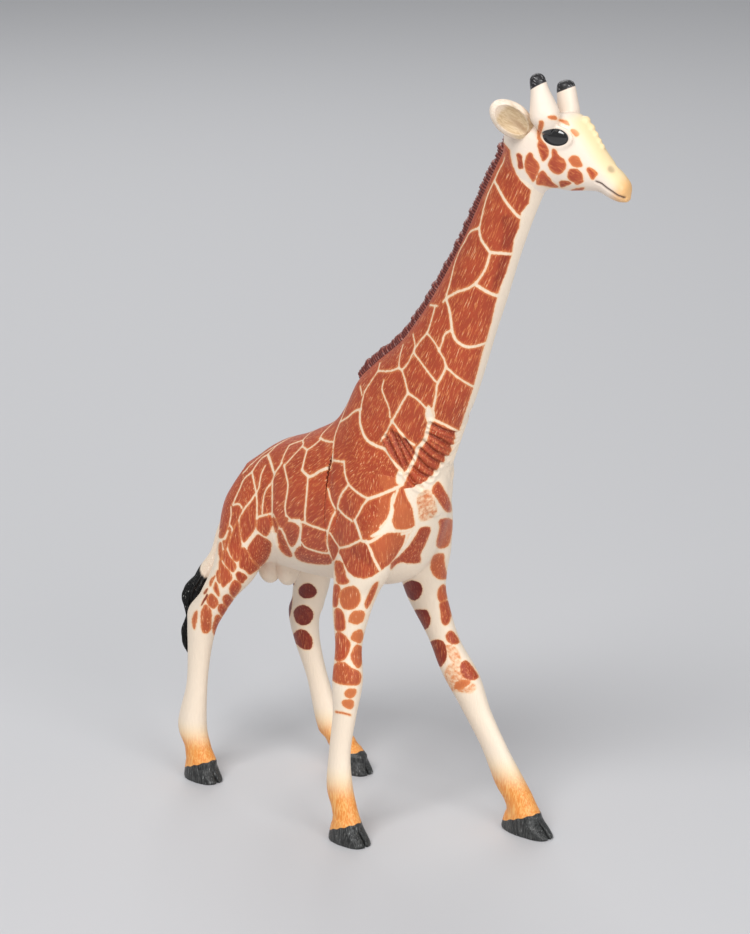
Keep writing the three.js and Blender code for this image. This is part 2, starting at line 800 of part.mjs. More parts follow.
const cutSockets = (solid) => legSockets.reduce((rest, socket) => rest.subtract(socket), solid);
const bodyPeg = (grow) => peg(bodyPegRoot, forward, bodyPegLength, bodyPegRadius, grow);
const hindquarters = largestBody(cutSockets(
  whole.add(groinLump).intersect(behindBodySeam).intersect(belowNeckSeam),
).subtract(tailPeg(glueGap))).add(bodyPeg(0));
const forequarters = largestBody(cutSockets(
  whole.intersect(aheadOfBodySeam).intersect(belowNeckSeam),
).subtract(neckPeg(glueGap)).subtract(bodyPeg(glueGap)));

const legSolids = Object.fromEntries(
  Object.entries(legs).map(([name, leg]) => [name, legBody(leg, grownWhole)]),
);
const neck = largestBody(whole.intersect(aboveNeckSeam).add(mane()).subtract(skull(glueGap)))
  .add(neckPeg(0)).subtract(headPeg(glueGap));
const head = headBody().add(headPeg(0));

const grownHead = skull(glueGap);

function ear(way) {
  return largestBody(earBody(way).subtract(grownHead)).add(earPeg(way));
}

const headWithSockets = head.subtract(earPeg(1, glueGap)).subtract(earPeg(-1, glueGap));
const tail = largestBody(tailBody().subtract(grownWhole).subtract(limb(legs.hindleg_right, glueGap)))
  .add(tailPeg());

// The figure, with its origin under the middle of its outline
const solids = {
  hindquarters,
  forequarters,
  neck,
  head: headWithSockets,
  ear_left: ear(1),
  ear_right: ear(-1),
  ...legSolids,
  tail,
};
const finishes = {
  head: creamMaterial,
  ear_left: creamMaterial,
  ear_right: creamMaterial,
  tail: tuftMaterial,
};

const figure = new THREE.Group();
Object.entries(solids).forEach(([name, solid]) => {
  const mesh = new THREE.Mesh(toGeometry(solid), (finishes[name] ?? coatMaterial).clone());
  mesh.name = name;
  figure.add(mesh);
});
const outline = new THREE.Box3().setFromObject(figure);
const outlineMiddle = outline.getCenter(new THREE.Vector3());
figure.position.set(-outlineMiddle.x, -outlineMiddle.y, -outline.min.z);
figure.updateMatrixWorld(true);

export default figure;
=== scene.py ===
import bpy
import numpy as np
from mathutils import Matrix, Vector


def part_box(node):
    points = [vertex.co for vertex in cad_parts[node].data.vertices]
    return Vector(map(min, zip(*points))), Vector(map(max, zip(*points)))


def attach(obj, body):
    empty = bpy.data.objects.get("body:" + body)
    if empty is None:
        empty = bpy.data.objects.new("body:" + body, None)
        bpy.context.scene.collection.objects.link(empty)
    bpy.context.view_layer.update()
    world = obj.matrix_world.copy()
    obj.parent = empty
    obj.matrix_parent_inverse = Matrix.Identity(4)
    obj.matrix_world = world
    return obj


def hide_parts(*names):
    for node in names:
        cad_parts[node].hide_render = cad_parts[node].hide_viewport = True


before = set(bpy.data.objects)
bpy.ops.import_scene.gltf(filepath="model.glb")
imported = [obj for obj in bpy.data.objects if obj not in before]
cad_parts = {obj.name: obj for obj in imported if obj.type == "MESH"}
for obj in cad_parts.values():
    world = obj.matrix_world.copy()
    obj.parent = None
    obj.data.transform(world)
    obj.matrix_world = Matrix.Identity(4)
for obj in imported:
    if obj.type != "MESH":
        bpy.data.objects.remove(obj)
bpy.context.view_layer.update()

# Viewpoint
# The figure is seen from ahead and from its right, a little from above. Its coat was brushed on by
# hand, so the lines and patches below are given as this camera sees them and laid on the castings.
MM = 0.001
photo_size_px = np.array((750, 934))
photo_middle_px = photo_size_px / 2
focal_px = 3623.2
view_azimuth, view_elevation = np.radians((46, 17))
view_distance = 700
view_target = np.array((7.8, -14.0, 80.0))
view_back = np.array((
    np.sin(view_azimuth) * np.cos(view_elevation),
    -np.cos(view_azimuth) * np.cos(view_elevation),
    np.sin(view_elevation),
))
view_right = np.array((np.cos(view_azimuth), np.sin(view_azimuth), 0.0))
view_up = np.cross(view_back, view_right)
view_place = view_target + view_back * view_distance

camera_data = bpy.data.cameras.new("camera")
camera_data.sensor_fit = "HORIZONTAL"
camera_data.lens = focal_px / photo_size_px[0] * camera_data.sensor_width
camera_data.clip_start = 0.05
camera = bpy.data.objects.new("camera", camera_data)
bpy.context.scene.collection.objects.link(camera)
camera.matrix_world = (
    Matrix.Translation(view_place * MM)
    @ Matrix(np.column_stack((view_right, view_up, view_back))).to_4x4()
)
bpy.context.scene.camera = camera
bpy.context.scene.view_settings.view_transform = "Standard"


def to_photo(points):
    """Where points in millimetres show, in pixels."""
    arm = points - view_place
    depth = -(arm @ view_back)
    across = np.stack((arm @ view_right, -(arm @ view_up)), -1)
    return photo_middle_px + focal_px * across / depth[..., None]


def onto(skin, pixels):
    """The points of a skin, in millimetres, that show at these pixels."""
    nearest, farthest, step = 620, 790, 0.5
    shift = (np.asarray(pixels, float) - photo_middle_px) / focal_px
    rays = view_right * shift[:, :1] - view_up * shift[:, 1:] - view_back
    reach = np.arange(nearest, farthest, step)
    spots = view_place + rays[:, None, :] * reach[None, :, None]
    value = skin(spots[..., 0], spots[..., 1], spots[..., 2])
    inside = value < 0
    place = np.where(inside.any(1), inside.argmax(1), value.argmin(1))
    row = np.arange(len(place))
    before = value[row, np.maximum(place - 1, 0)]
    after = value[row, place]
    share = np.where(after < 0, before / np.maximum(before - after, 1e-9), 1.0)
    depth = reach[place] + (share - 1) * step
    return view_place + rays * depth[:, None]


# Body: hindquarters, forequarters and neck
# Three solid castings of soft plastic, plugged together and glued at a visible hairline behind the
# shoulder and at the foot of the neck. Folds cross the neck's foot, and pale lines part the patches.
hind_trunk_length = 39.0
trunk_length = 59.5
trunk_width = 22.0
trunk_depth = 37.0
belly_height = 47.5
neck_reach = 44.0
neck_rise = 84.0
neck_width = 16.0
neck_foot_above_belly = 18.5
neck_foot_ahead_of_seam = 9.5
neck_seam_above_foot = 12.0
neck_seam_slope = np.radians(20)
body_blend = 7.0
seam_sink = 0.03
seam_lap = 1.0
body_step = 0.25

rump_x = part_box("hindquarters")[0].x / MM
seam_x = rump_x + hind_trunk_length
chest_x = rump_x + trunk_length
neck_foot = np.array((seam_x + neck_foot_ahead_of_seam, 0, belly_height + neck_foot_above_belly))

# Trunk sections from rump to chest, as shares of its length, depth, depth and width: place along,
# top and bottom above the belly, breadth.
trunk_shares = [
    (0.0, 0.25, 0.17, 0.1),
    (0.015, 0.33, 0.1, 0.34),
    (0.05, 0.41, 0.05, 0.52),
    (0.105, 0.49, 0.02, 0.66),
    (0.185, 0.625, 0.0, 0.78),
    (0.28, 0.725, 0.0, 0.88),
    (0.395, 0.8, 0.0, 0.95),
    (0.525, 0.9, 0.015, 1.0),
    (0.655, 0.955, 0.04, 0.98),
    (0.765, 0.985, 0.07, 0.93),
    (0.865, 0.96, 0.13, 0.82),
    (0.935, 0.89, 0.24, 0.66),
    (0.98, 0.8, 0.43, 0.44),
    (1.0, 0.68, 0.56, 0.14),
]

# Neck sections from the chest to the skull, each from a point on the nape to one on the throat, as
# shares of its reach and rise from the foot, and its breadth as a share of its width.
neck_shares = [
    (-0.31, 0.14, 0.15, 0.0, 0.86),
    (-0.275, 0.23, 0.235, 0.06, 0.98),
    (-0.21, 0.305, 0.315, 0.155, 0.96),
    (-0.1, 0.36, 0.385, 0.24, 0.9),
    (0.055, 0.425, 0.455, 0.315, 0.82),
    (0.165, 0.49, 0.52, 0.4, 0.74),
    (0.265, 0.56, 0.585, 0.49, 0.66),
    (0.365, 0.64, 0.655, 0.58, 0.6),
    (0.46, 0.725, 0.72, 0.67, 0.54),
    (0.545, 0.81, 0.79, 0.755, 0.5),
    (0.63, 0.89, 0.86, 0.83, 0.48),
    (0.7, 0.95, 0.93, 0.89, 0.46),
    (0.76, 0.995, 0.92, 0.955, 0.34),
]


def smooth_rows(rows, finer=8):
    """Rows of a table made finer by a smooth curve through each column."""
    rows = np.array(rows, float)
    first = 2 * rows[0] - rows[1]
    last = 2 * rows[-1] - rows[-2]
    padded = np.vstack((first, rows, last))
    place = np.linspace(0, len(rows) - 1, (len(rows) - 1) * finer + 1)
    index = np.minimum(place.astype(int), len(rows) - 2)
    part = (place - index)[:, None]
    a, b, c, d = (padded[index + step] for step in range(4))
    return 0.5 * (
        2 * b
        + (c - a) * part
        + (2 * a - 5 * b + 4 * c - d) * part**2
        + (3 * b - a - 3 * c + d) * part**3
    )


def oval(across, depth, half_breadth, half_depth, power=2.0):
    """How far a point lies outside an oval, in its own plane."""
    reach = np.hypot(across, depth)
    share = (
        np.abs(across / half_breadth) ** power + np.abs(depth / half_depth) ** power
    ) ** (1 / power)
    radius = np.where(reach < 1e-6, half_breadth, reach / np.maximum(share, 1e-9))
    return reach - radius


def past_end(skin, beyond):
    """A skin's distance with the distance past its open end added."""
    return np.where(beyond > 0, np.hypot(np.maximum(skin, 0), np.maximum(beyond, 0)), skin)


def columns_at(rows, place):
    """The other columns of a table where its first column reaches some places."""
    return [np.interp(place, rows[:, 0], column) for column in rows.T[1:]]


def soft_min(a, b, blend):
    """The nearer of two skins, with a fillet where they meet."""
    near = np.maximum(blend - np.abs(a - b), 0) / blend
    return np.minimum(a, b) - near * near * blend / 4


def ease(value, low, high):
    """A smooth step from 0 at low to 1 at high."""
    share = np.clip((value - low) / (high - low), 0, 1)
    return share * share * (3 - 2 * share)


trunk_rows = smooth_rows(trunk_shares)
neck_rows = smooth_rows(neck_shares)
nape = neck_rows[:, 0:2] * (neck_reach, neck_rise) + neck_foot[[0, 2]]
throat = neck_rows[:, 2:4] * (neck_reach, neck_rise) + neck_foot[[0, 2]]
neck_half_breadth = neck_rows[:, 4] * neck_width / 2


def trunk_skin(x, y, z):
    """How far a point lies outside the trunk."""
    top, bottom, breadth = columns_at(trunk_rows, (x - rump_x) / trunk_length)
    middle = belly_height + (top + bottom) / 2 * trunk_depth
    half_depth = (top - bottom) / 2 * trunk_depth
    skin = oval(y, z - middle, breadth * trunk_width / 2, half_depth)
    return past_end(skin, np.maximum(rump_x - x, x - chest_x))


def neck_place(x, z):
    """How far up the neck a point is, counted in rows, and how far past either end."""
    count = np.zeros(np.broadcast(x, z).shape, int)
    rise = []
    for back, front in zip(nape, throat):
        across = (front - back) / np.linalg.norm(front - back)
        rise.append((z - back[1]) * across[0] - (x - back[0]) * across[1])
        count += rise[-1] > 0
    rise = np.stack(rise)
    index = np.clip(count - 1, 0, len(nape) - 2)
    below = np.take_along_axis(rise, index[None], 0)[0]
    above = np.take_along_axis(rise, index[None] + 1, 0)[0]
    part = np.clip(below / np.where(below == above, 1, below - above), 0, 1)
    return index + part, np.maximum(-rise[0], rise[-1])


def neck_frame(x, z):
    """Place up the neck, distance past its ends, and place across from throat to nape."""
    place, beyond = neck_place(x, z)
    rows = np.arange(len(nape))
    back = [np.interp(place, rows, nape[:, axis]) for axis in (0, 1)]
    front = [np.interp(place, rows, throat[:, axis]) for axis in (0, 1)]
    span = np.hypot(front[0] - back[0], front[1] - back[1])
    behind = ((back[0] - x) * (front[0] - back[0]) + (back[1] - z) * (front[1] - back[1])) / span
    return place, beyond, span, behind


def neck_skin(x, y, z):
    """How far a point lies outside the neck."""
    place, beyond, span, behind = neck_frame(x, z)
    half_breadth = np.interp(place, np.arange(len(nape)), neck_half_breadth)
    return past_end(oval(y, behind + span / 2, half_breadth, span / 2), beyond)


def body_skin(x, y, z):
    """Trunk and neck, with the fillet between them."""
    return soft_min(trunk_skin(x, y, z), neck_skin(x, y, z), body_blend)


def neck_seam(x, z):
    """How far above the seam between forequarters and neck a point lies."""
    return (
        (x - neck_foot[0]) * np.sin(neck_seam_slope)
        + (z - neck_foot[2] - neck_seam_above_foot) * np.cos(neck_seam_slope)
    )


def lapped(skin, beyond):
    """A skin that runs on past a closed seam and sinks under the piece on its other side."""
    return np.maximum(skin + seam_sink * ease(beyond, -seam_lap / 2, seam_lap / 2), beyond - seam_lap)


# Groin: two small lobes under the flank
groin_shares = [(0.2, -0.8), (0.262, 0.8)]
groin_radii = (2.7, 2.5, 4.0)
groin_drop = 1.2
groin_blend = 1.5


def groin_skin(x, y, z):
    """How far a point lies outside the two lobes."""
    lobes = [
        np.sqrt(
            ((x - rump_x - along * trunk_length) / groin_radii[0]) ** 2
            + ((y - out) / groin_radii[1]) ** 2
            + ((z - belly_height + groin_drop) / groin_radii[2]) ** 2
        )
        for along, out in groin_shares
    ]
    return (np.minimum(*lobes) - 1) * groin_radii[1]


def hindquarters_skin(x, y, z):
    """The body behind the hairline seam and below the neck's."""
    skin = soft_min(body_skin(x, y, z), groin_skin(x, y, z), groin_blend)
    return np.maximum(lapped(skin, neck_seam(x, z)), x - seam_x)


def forequarters_skin(x, y, z):
    """The body ahead of the hairline seam and below the neck's."""
    return np.maximum(lapped(body_skin(x, y, z), neck_seam(x, z)), seam_x - x)


def neck_casting_skin(x, y, z):
    """The body above the neck's seam."""
    return lapped(body_skin(x, y, z), -neck_seam(x, z))


def surface_of(skin, low, high, step):
    """Points, outward normals and faces of the closed surface where a skin's distance is zero."""
    axes = [np.arange(start - 2 * step, end + 3 * step, step) for start, end in zip(low, high)]
    shape = tuple(len(axis) for axis in axes)
    value = skin(axes[0][:, None, None], axes[1][None, :, None], axes[2][None, None, :])
    value = np.broadcast_to(value, shape)
    inside = value < 0
    corners = np.array([(i, j, k) for i in (0, 1) for j in (0, 1) for k in (0, 1)])
    count = np.zeros(tuple(side - 1 for side in shape), np.int8)
    for i, j, k in corners:
        count += inside[i : shape[0] - 1 + i, j : shape[1] - 1 + j, k : shape[2] - 1 + k]
    cells = np.argwhere((count > 0) & (count < len(corners)))
    total = np.zeros((len(cells), 3))
    crossings = np.zeros(len(cells))
    for start in corners:
        for axis in range(3):
            if start[axis]:
                continue
            end = start.copy()
            end[axis] = 1
            a = value[tuple((cells + start).T)]
            b = value[tuple((cells + end).T)]
            crossed = (a < 0) != (b < 0)
            share = np.where(crossed, a / np.where(crossed, a - b, 1), 0)
            spot = start + share[:, None] * (end - start)
            total += np.where(crossed[:, None], spot, 0)
            crossings += crossed
    points = np.array([axis[0] for axis in axes]) + (cells + total / crossings[:, None]) * step
    number = np.full(count.shape, -1, np.int32)
    number[tuple(cells.T)] = np.arange(len(cells))
    faces = []
    for axis in range(3):
        u, v = (axis + 1) % 3, (axis + 2) % 3
        lower = [slice(None)] * 3
        upper = [slice(None)] * 3
        lower[axis] = slice(0, -1)
        upper[axis] = slice(1, None)
        leaving = inside[tuple(lower)] & ~inside[tuple(upper)]
        entering = ~inside[tuple(lower)] & inside[tuple(upper)]
        for edges, order in ((leaving, (0, 1, 2, 3)), (entering, (3, 2, 1, 0))):
            spots = np.argwhere(edges)
            ring = []
            for shift_u, shift_v in ((1, 1), (0, 1), (0, 0), (1, 0)):
                cell = spots.copy()
                cell[:, u] -= shift_u
                cell[:, v] -= shift_v
                ring.append(number[tuple(cell.T)])
            faces.append(np.stack([ring[corner] for corner in order], 1))
    faces = np.vstack(faces)
    for _ in range(2):
        points, normals = settled(skin, points, step)
    return points, normals, faces


def slope_of(skin, points, reach=0.02):
    """How fast a skin's distance grows along each axis."""
    slope = []
    for axis in range(3):
        step = np.zeros(3)
        step[axis] = reach
        ahead, behind = points + step, points - step
        slope.append((skin(*ahead.T) - skin(*behind.T)) / (2 * reach))
    return np.stack(slope, 1)


def settled(skin, points, step):
    """Points moved onto a skin, and the skin's normals there."""
    slope = slope_of(skin, points)
    size = np.linalg.norm(slope, axis=1) + 1e-9
    move = np.clip(skin(*points.T) / size, -step / 2, step / 2)
    normals = slope / size[:, None]
    return points - normals * move[:, None], normals


def gap_to(spots, start, end):
    """How far some spots lie from the straight run between two points."""
    way = end - start
    share = np.clip((spots - start) @ way / (way @ way + 1e-12), 0, 1)
    return np.linalg.norm(spots - start - share[:, None] * way, axis=1)


def near_lines(points, lines, limit=3.0, join=0.0):
    """How far points lie from the nearest of some lines, less half the line's own width."""
    gap = np.full(len(points), limit)
    for half_width, route in lines:
        reach = limit + half_width
        near = np.flatnonzero(((points > route.min(0) - reach) & (points < route.max(0) + reach)).all(1))
        if not len(near):
            continue
        spots = points[near]
        own = np.full(len(near), limit)
        for start, end in zip(route[:-1], route[1:]):
            own = np.minimum(own, gap_to(spots, start, end) - half_width)
        gap[near] = soft_min(gap[near], own, join) if join else np.minimum(gap[near], own)
    return gap


px_per_mm = focal_px / view_distance
brush_share = 0.76


def routes_on(skin, lines_px):
    """Lines given in pixels, laid on a skin: half width in millimetres and points along each."""
    return [
        (width * brush_share / 2 / px_per_mm, onto(skin, smooth_rows(line, 3 if len(line) > 2 else 5)))
        for width, line in lines_px
    ]


def mirrored(values):
    """Points or directions laid over from one side to the other."""
    return values * (1, -1, 1)


# Pale lines between the patches: width and points in pixels, from the head down
coat_lines_px = [
    (2.5, [(511, 148), (499, 170), (495, 179), (488, 194), (484, 207), (480, 225), (479, 228)]),
    (4.0, [(495, 182), (503, 197), (510, 207), (518, 216), (524, 219)]),
    (4.0, [(479, 228), (481, 239), (487, 248), (490, 252), (497, 253), (512, 254)]),
    (3.0, [(490, 253), (488, 261), (484, 272), (476, 283)]),
    (3.0, [(476, 283), (469, 288), (457, 292), (447, 298), (443, 302)]),
    (4.5, [(476, 285), (484, 290), (492, 294), (501, 297)]),
    (2.5, [(479, 228), (470, 232), (465, 241), (459, 252), (454, 266), (450, 283), (446, 296)]),
    (4.0, [(446, 299), (449, 308), (451, 320), (452, 330), (455, 339),
           (462, 345), (470, 347), (480, 345), (489, 342)]),
    (2.5, [(430, 305), (437, 306)]),
    (2.5, [(435, 307), (432, 318), (429, 328), (427, 333), (421, 340), (415, 348)]),
    (2.5, [(452, 330), (445, 334), (442, 343), (439, 351)]),
    (2.2, [(427, 333), (435, 343), (439, 351)]),
    (2.5, [(439, 351), (444, 359), (446, 367)]),
    (2.8, [(446, 367), (456, 376), (465, 382), (472, 386), (477, 388)]),
    (2.8, [(446, 367), (442, 376), (437, 385), (436, 395), (433, 409)]),
    (2.2, [(413, 334), (415, 345), (414, 353)]),
    (2.5, [(414, 353), (420, 361), (428, 372), (436, 382)]),
    (2.5, [(415, 348), (408, 363), (402, 370)]),
    (2.5, [(403, 345), (400, 356), (399, 367), (402, 370)]),
    (2.5, [(402, 370), (405, 380), (408, 393)]),
    (2.8, [(408, 393), (418, 400), (425, 407), (432, 414)]),
    (2.8, [(408, 393), (402, 403), (396, 414), (392, 421)]),
    (2.5, [(392, 421), (388, 430), (384, 437), (381, 441)]),
    (2.8, [(392, 421), (399, 430), (408, 440), (415, 445)]),
    (2.2, [(390, 417), (389, 408), (385, 398), (382, 389), (384, 380)]),
    (2.5, [(399, 368), (390, 371), (378, 371)]),
    (2.2, [(378, 371), (380, 363)]),
    (2.5, [(378, 371), (372, 380), (365, 391), (362, 402), (361, 409)]),
    (2.2, [(360, 386), (362, 395)]),
    (2.8, [(361, 409), (355, 411), (348, 417), (340, 422)]),
    (4.0, [(360, 411), (360, 422), (363, 433), (368, 441), (377, 446), (385, 449)]),
    (3.0, [(385, 449), (391, 458), (399, 468), (404, 473)]),
    (2.5, [(340, 422), (336, 432), (334, 441), (332, 458), (329, 466)]),
    (2.5, [(331, 425), (323, 433), (320, 438)]),
    (2.5, [(320, 438), (326, 441), (333, 442)]),
    (2.5, [(320, 440), (313, 446), (307, 450)]),
    (3.0, [(433, 409), (434, 416), (433, 419)]),
    (3.0, [(433, 419), (442, 423), (452, 428), (458, 431)]),
    (5.0, [(432, 418), (428, 428), (425, 440), (418, 448), (415, 458), (407, 473), (402, 484)]),
    (2.5, [(310, 433), (303, 440), (303, 445), (294, 455), (285, 465)]),
    (2.5, [(303, 440), (292, 444), (289, 446), (285, 453), (281, 463)]),
    (2.5, [(302, 446), (307, 450)]),
    (3.0, [(307, 450), (304, 461), (302, 470)]),
    (4.0, [(302, 470), (308, 476), (312, 476), (320, 471), (329, 467)]),
    (3.0, [(308, 476), (307, 490), (306, 502), (305, 512), (305, 521)]),
    (3.0, [(284, 465), (286, 475), (288, 484), (287, 494), (285, 507), (286, 515)]),
    (3.2, [(286, 515), (291, 520), (298, 522), (305, 522)]),
    (3.2, [(305, 523), (312, 526), (321, 529), (327, 531)]),
    (3.0, [(286, 517), (282, 528)]),
    (3.0, [(282, 463), (274, 474), (271, 481)]),
    (4.0, [(268, 455), (271, 463), (274, 474)]),
    (2.8, [(282, 442), (276, 446), (268, 454), (261, 459), (255, 467), (252, 472)]),
    (2.5, [(284, 441), (272, 448), (257, 459), (243, 473)]),
    (2.8, [(252, 472), (244, 479), (240, 488), (235, 499), (233, 504)]),
    (2.8, [(252, 472), (254, 482), (256, 492), (257, 502), (257, 517)]),
    (2.5, [(265, 466), (261, 475), (259, 487), (257, 492)]),
    (3.0, [(271, 481), (271, 492), (271, 507), (271, 514)]),
    (2.5, [(270, 483), (265, 492), (263, 502), (262, 513)]),
    (2.5, [(233, 505), (239, 504), (242, 508)]),
    (2.8, [(256, 493), (250, 502), (245, 508), (241, 515), (238, 522), (232, 532)]),
    (2.5, [(231, 507), (231, 515), (229, 524), (225, 534), (222, 541)]),
    (2.5, [(229, 524), (232, 529), (230, 537), (228, 545), (226, 550), (225, 560)]),
    (2.5, [(239, 522), (240, 532), (242, 541), (245, 546)]),
    (2.8, [(257, 518), (256, 530)]),
    (2.8, [(257, 518), (261, 516), (270, 514)]),
    (4.0, [(256, 532), (250, 538), (245, 545), (242, 550)]),
    (2.8, [(256, 532), (262, 536), (270, 541)]),
    (4.0, [(271, 514), (272, 528), (275, 534), (273, 548)]),
    (3.5, [(273, 515), (278, 525), (282, 530), (287, 543), (293, 553)]),
    (4.0, [(301, 525), (300, 535), (296, 545), (293, 553)]),
    (3.0, [(302, 543), (305, 547), (312, 550), (323, 553), (329, 553)]),
    (2.8, [(334, 512), (330, 524), (327, 536), (328, 548), (332, 560)]),
    (2.8, [(331, 460), (337, 461), (344, 462)]),
    (2.8, [(344, 462), (345, 474), (348, 483)]),
    (3.0, [(350, 486), (358, 493), (368, 499)]),
    (2.8, [(349, 484), (341, 495), (338, 504), (337, 509)]),
    (2.5, [(327, 489), (330, 501), (334, 509)]),
    (3.0, [(338, 509), (344, 515), (352, 521)]),
    (3.0, [(368, 499), (363, 505), (359, 513), (354, 521)]),
    (4.5, [(355, 521), (358, 529), (361, 538)]),
    (4.0, [(368, 499), (377, 496), (387, 492), (398, 487), (402, 484)]),
    (3.0, [(330, 533), (335, 541), (339, 547)]),
    (3.0, [(339, 548), (349, 546), (361, 540)]),
    (3.0, [(339, 549), (338, 557), (335, 561)]),
    (4.0, [(362, 541), (369, 542), (377, 538), (386, 532), (395, 531)]),
    (4.5, [(415, 527), (410, 532), (402, 534)]),
    (4.0, [(407, 534), (405, 543), (398, 555), (390, 565), (385, 569)]),
    (3.0, [(398, 489), (394, 500), (391, 511)]),
    (3.0, [(391, 511), (387, 520), (380, 528)]),
    (3.6, [(366, 541), (370, 549), (374, 559), (380, 570)]),
    (4.0, [(395, 531), (404, 531), (413, 529), (418, 526)]),
]

# Rear edge of the pale throat and chest, from the head down, and the lower edge of the joined
# patches, from the rump forward. Beyond them the patches stand apart on the pale ground.
throat_edge_px = [
    (500, 138), (510, 150), (511, 158), (513, 166), (516, 173), (520, 180), (526, 186), (531, 190),
    (529, 203), (521, 213), (519, 228), (514, 239), (512, 254), (506, 273), (501, 285), (498, 295),
    (495, 305), (492, 320), (488, 335), (483, 350), (478, 370), (472, 392), (466, 410), (461, 426),
    (455, 436), (452, 448), (446, 458), (440, 465), (434, 473), (427, 480), (414, 487), (404, 489),
    (407, 498), (412, 507), (414, 518), (415, 526), (410, 533), (404, 545), (396, 557),
    (386, 568), (379, 575),
]
ground_edge_px = [
    (150, 530), (270, 530), (272, 519), (300, 519), (302, 561), (333, 561), (335, 559), (338, 552),
    (341, 556), (344, 564), (348, 572), (354, 577), (364, 579), (372, 577), (380, 571), (386, 568),
    (400, 560), (430, 556), (460, 556),
]

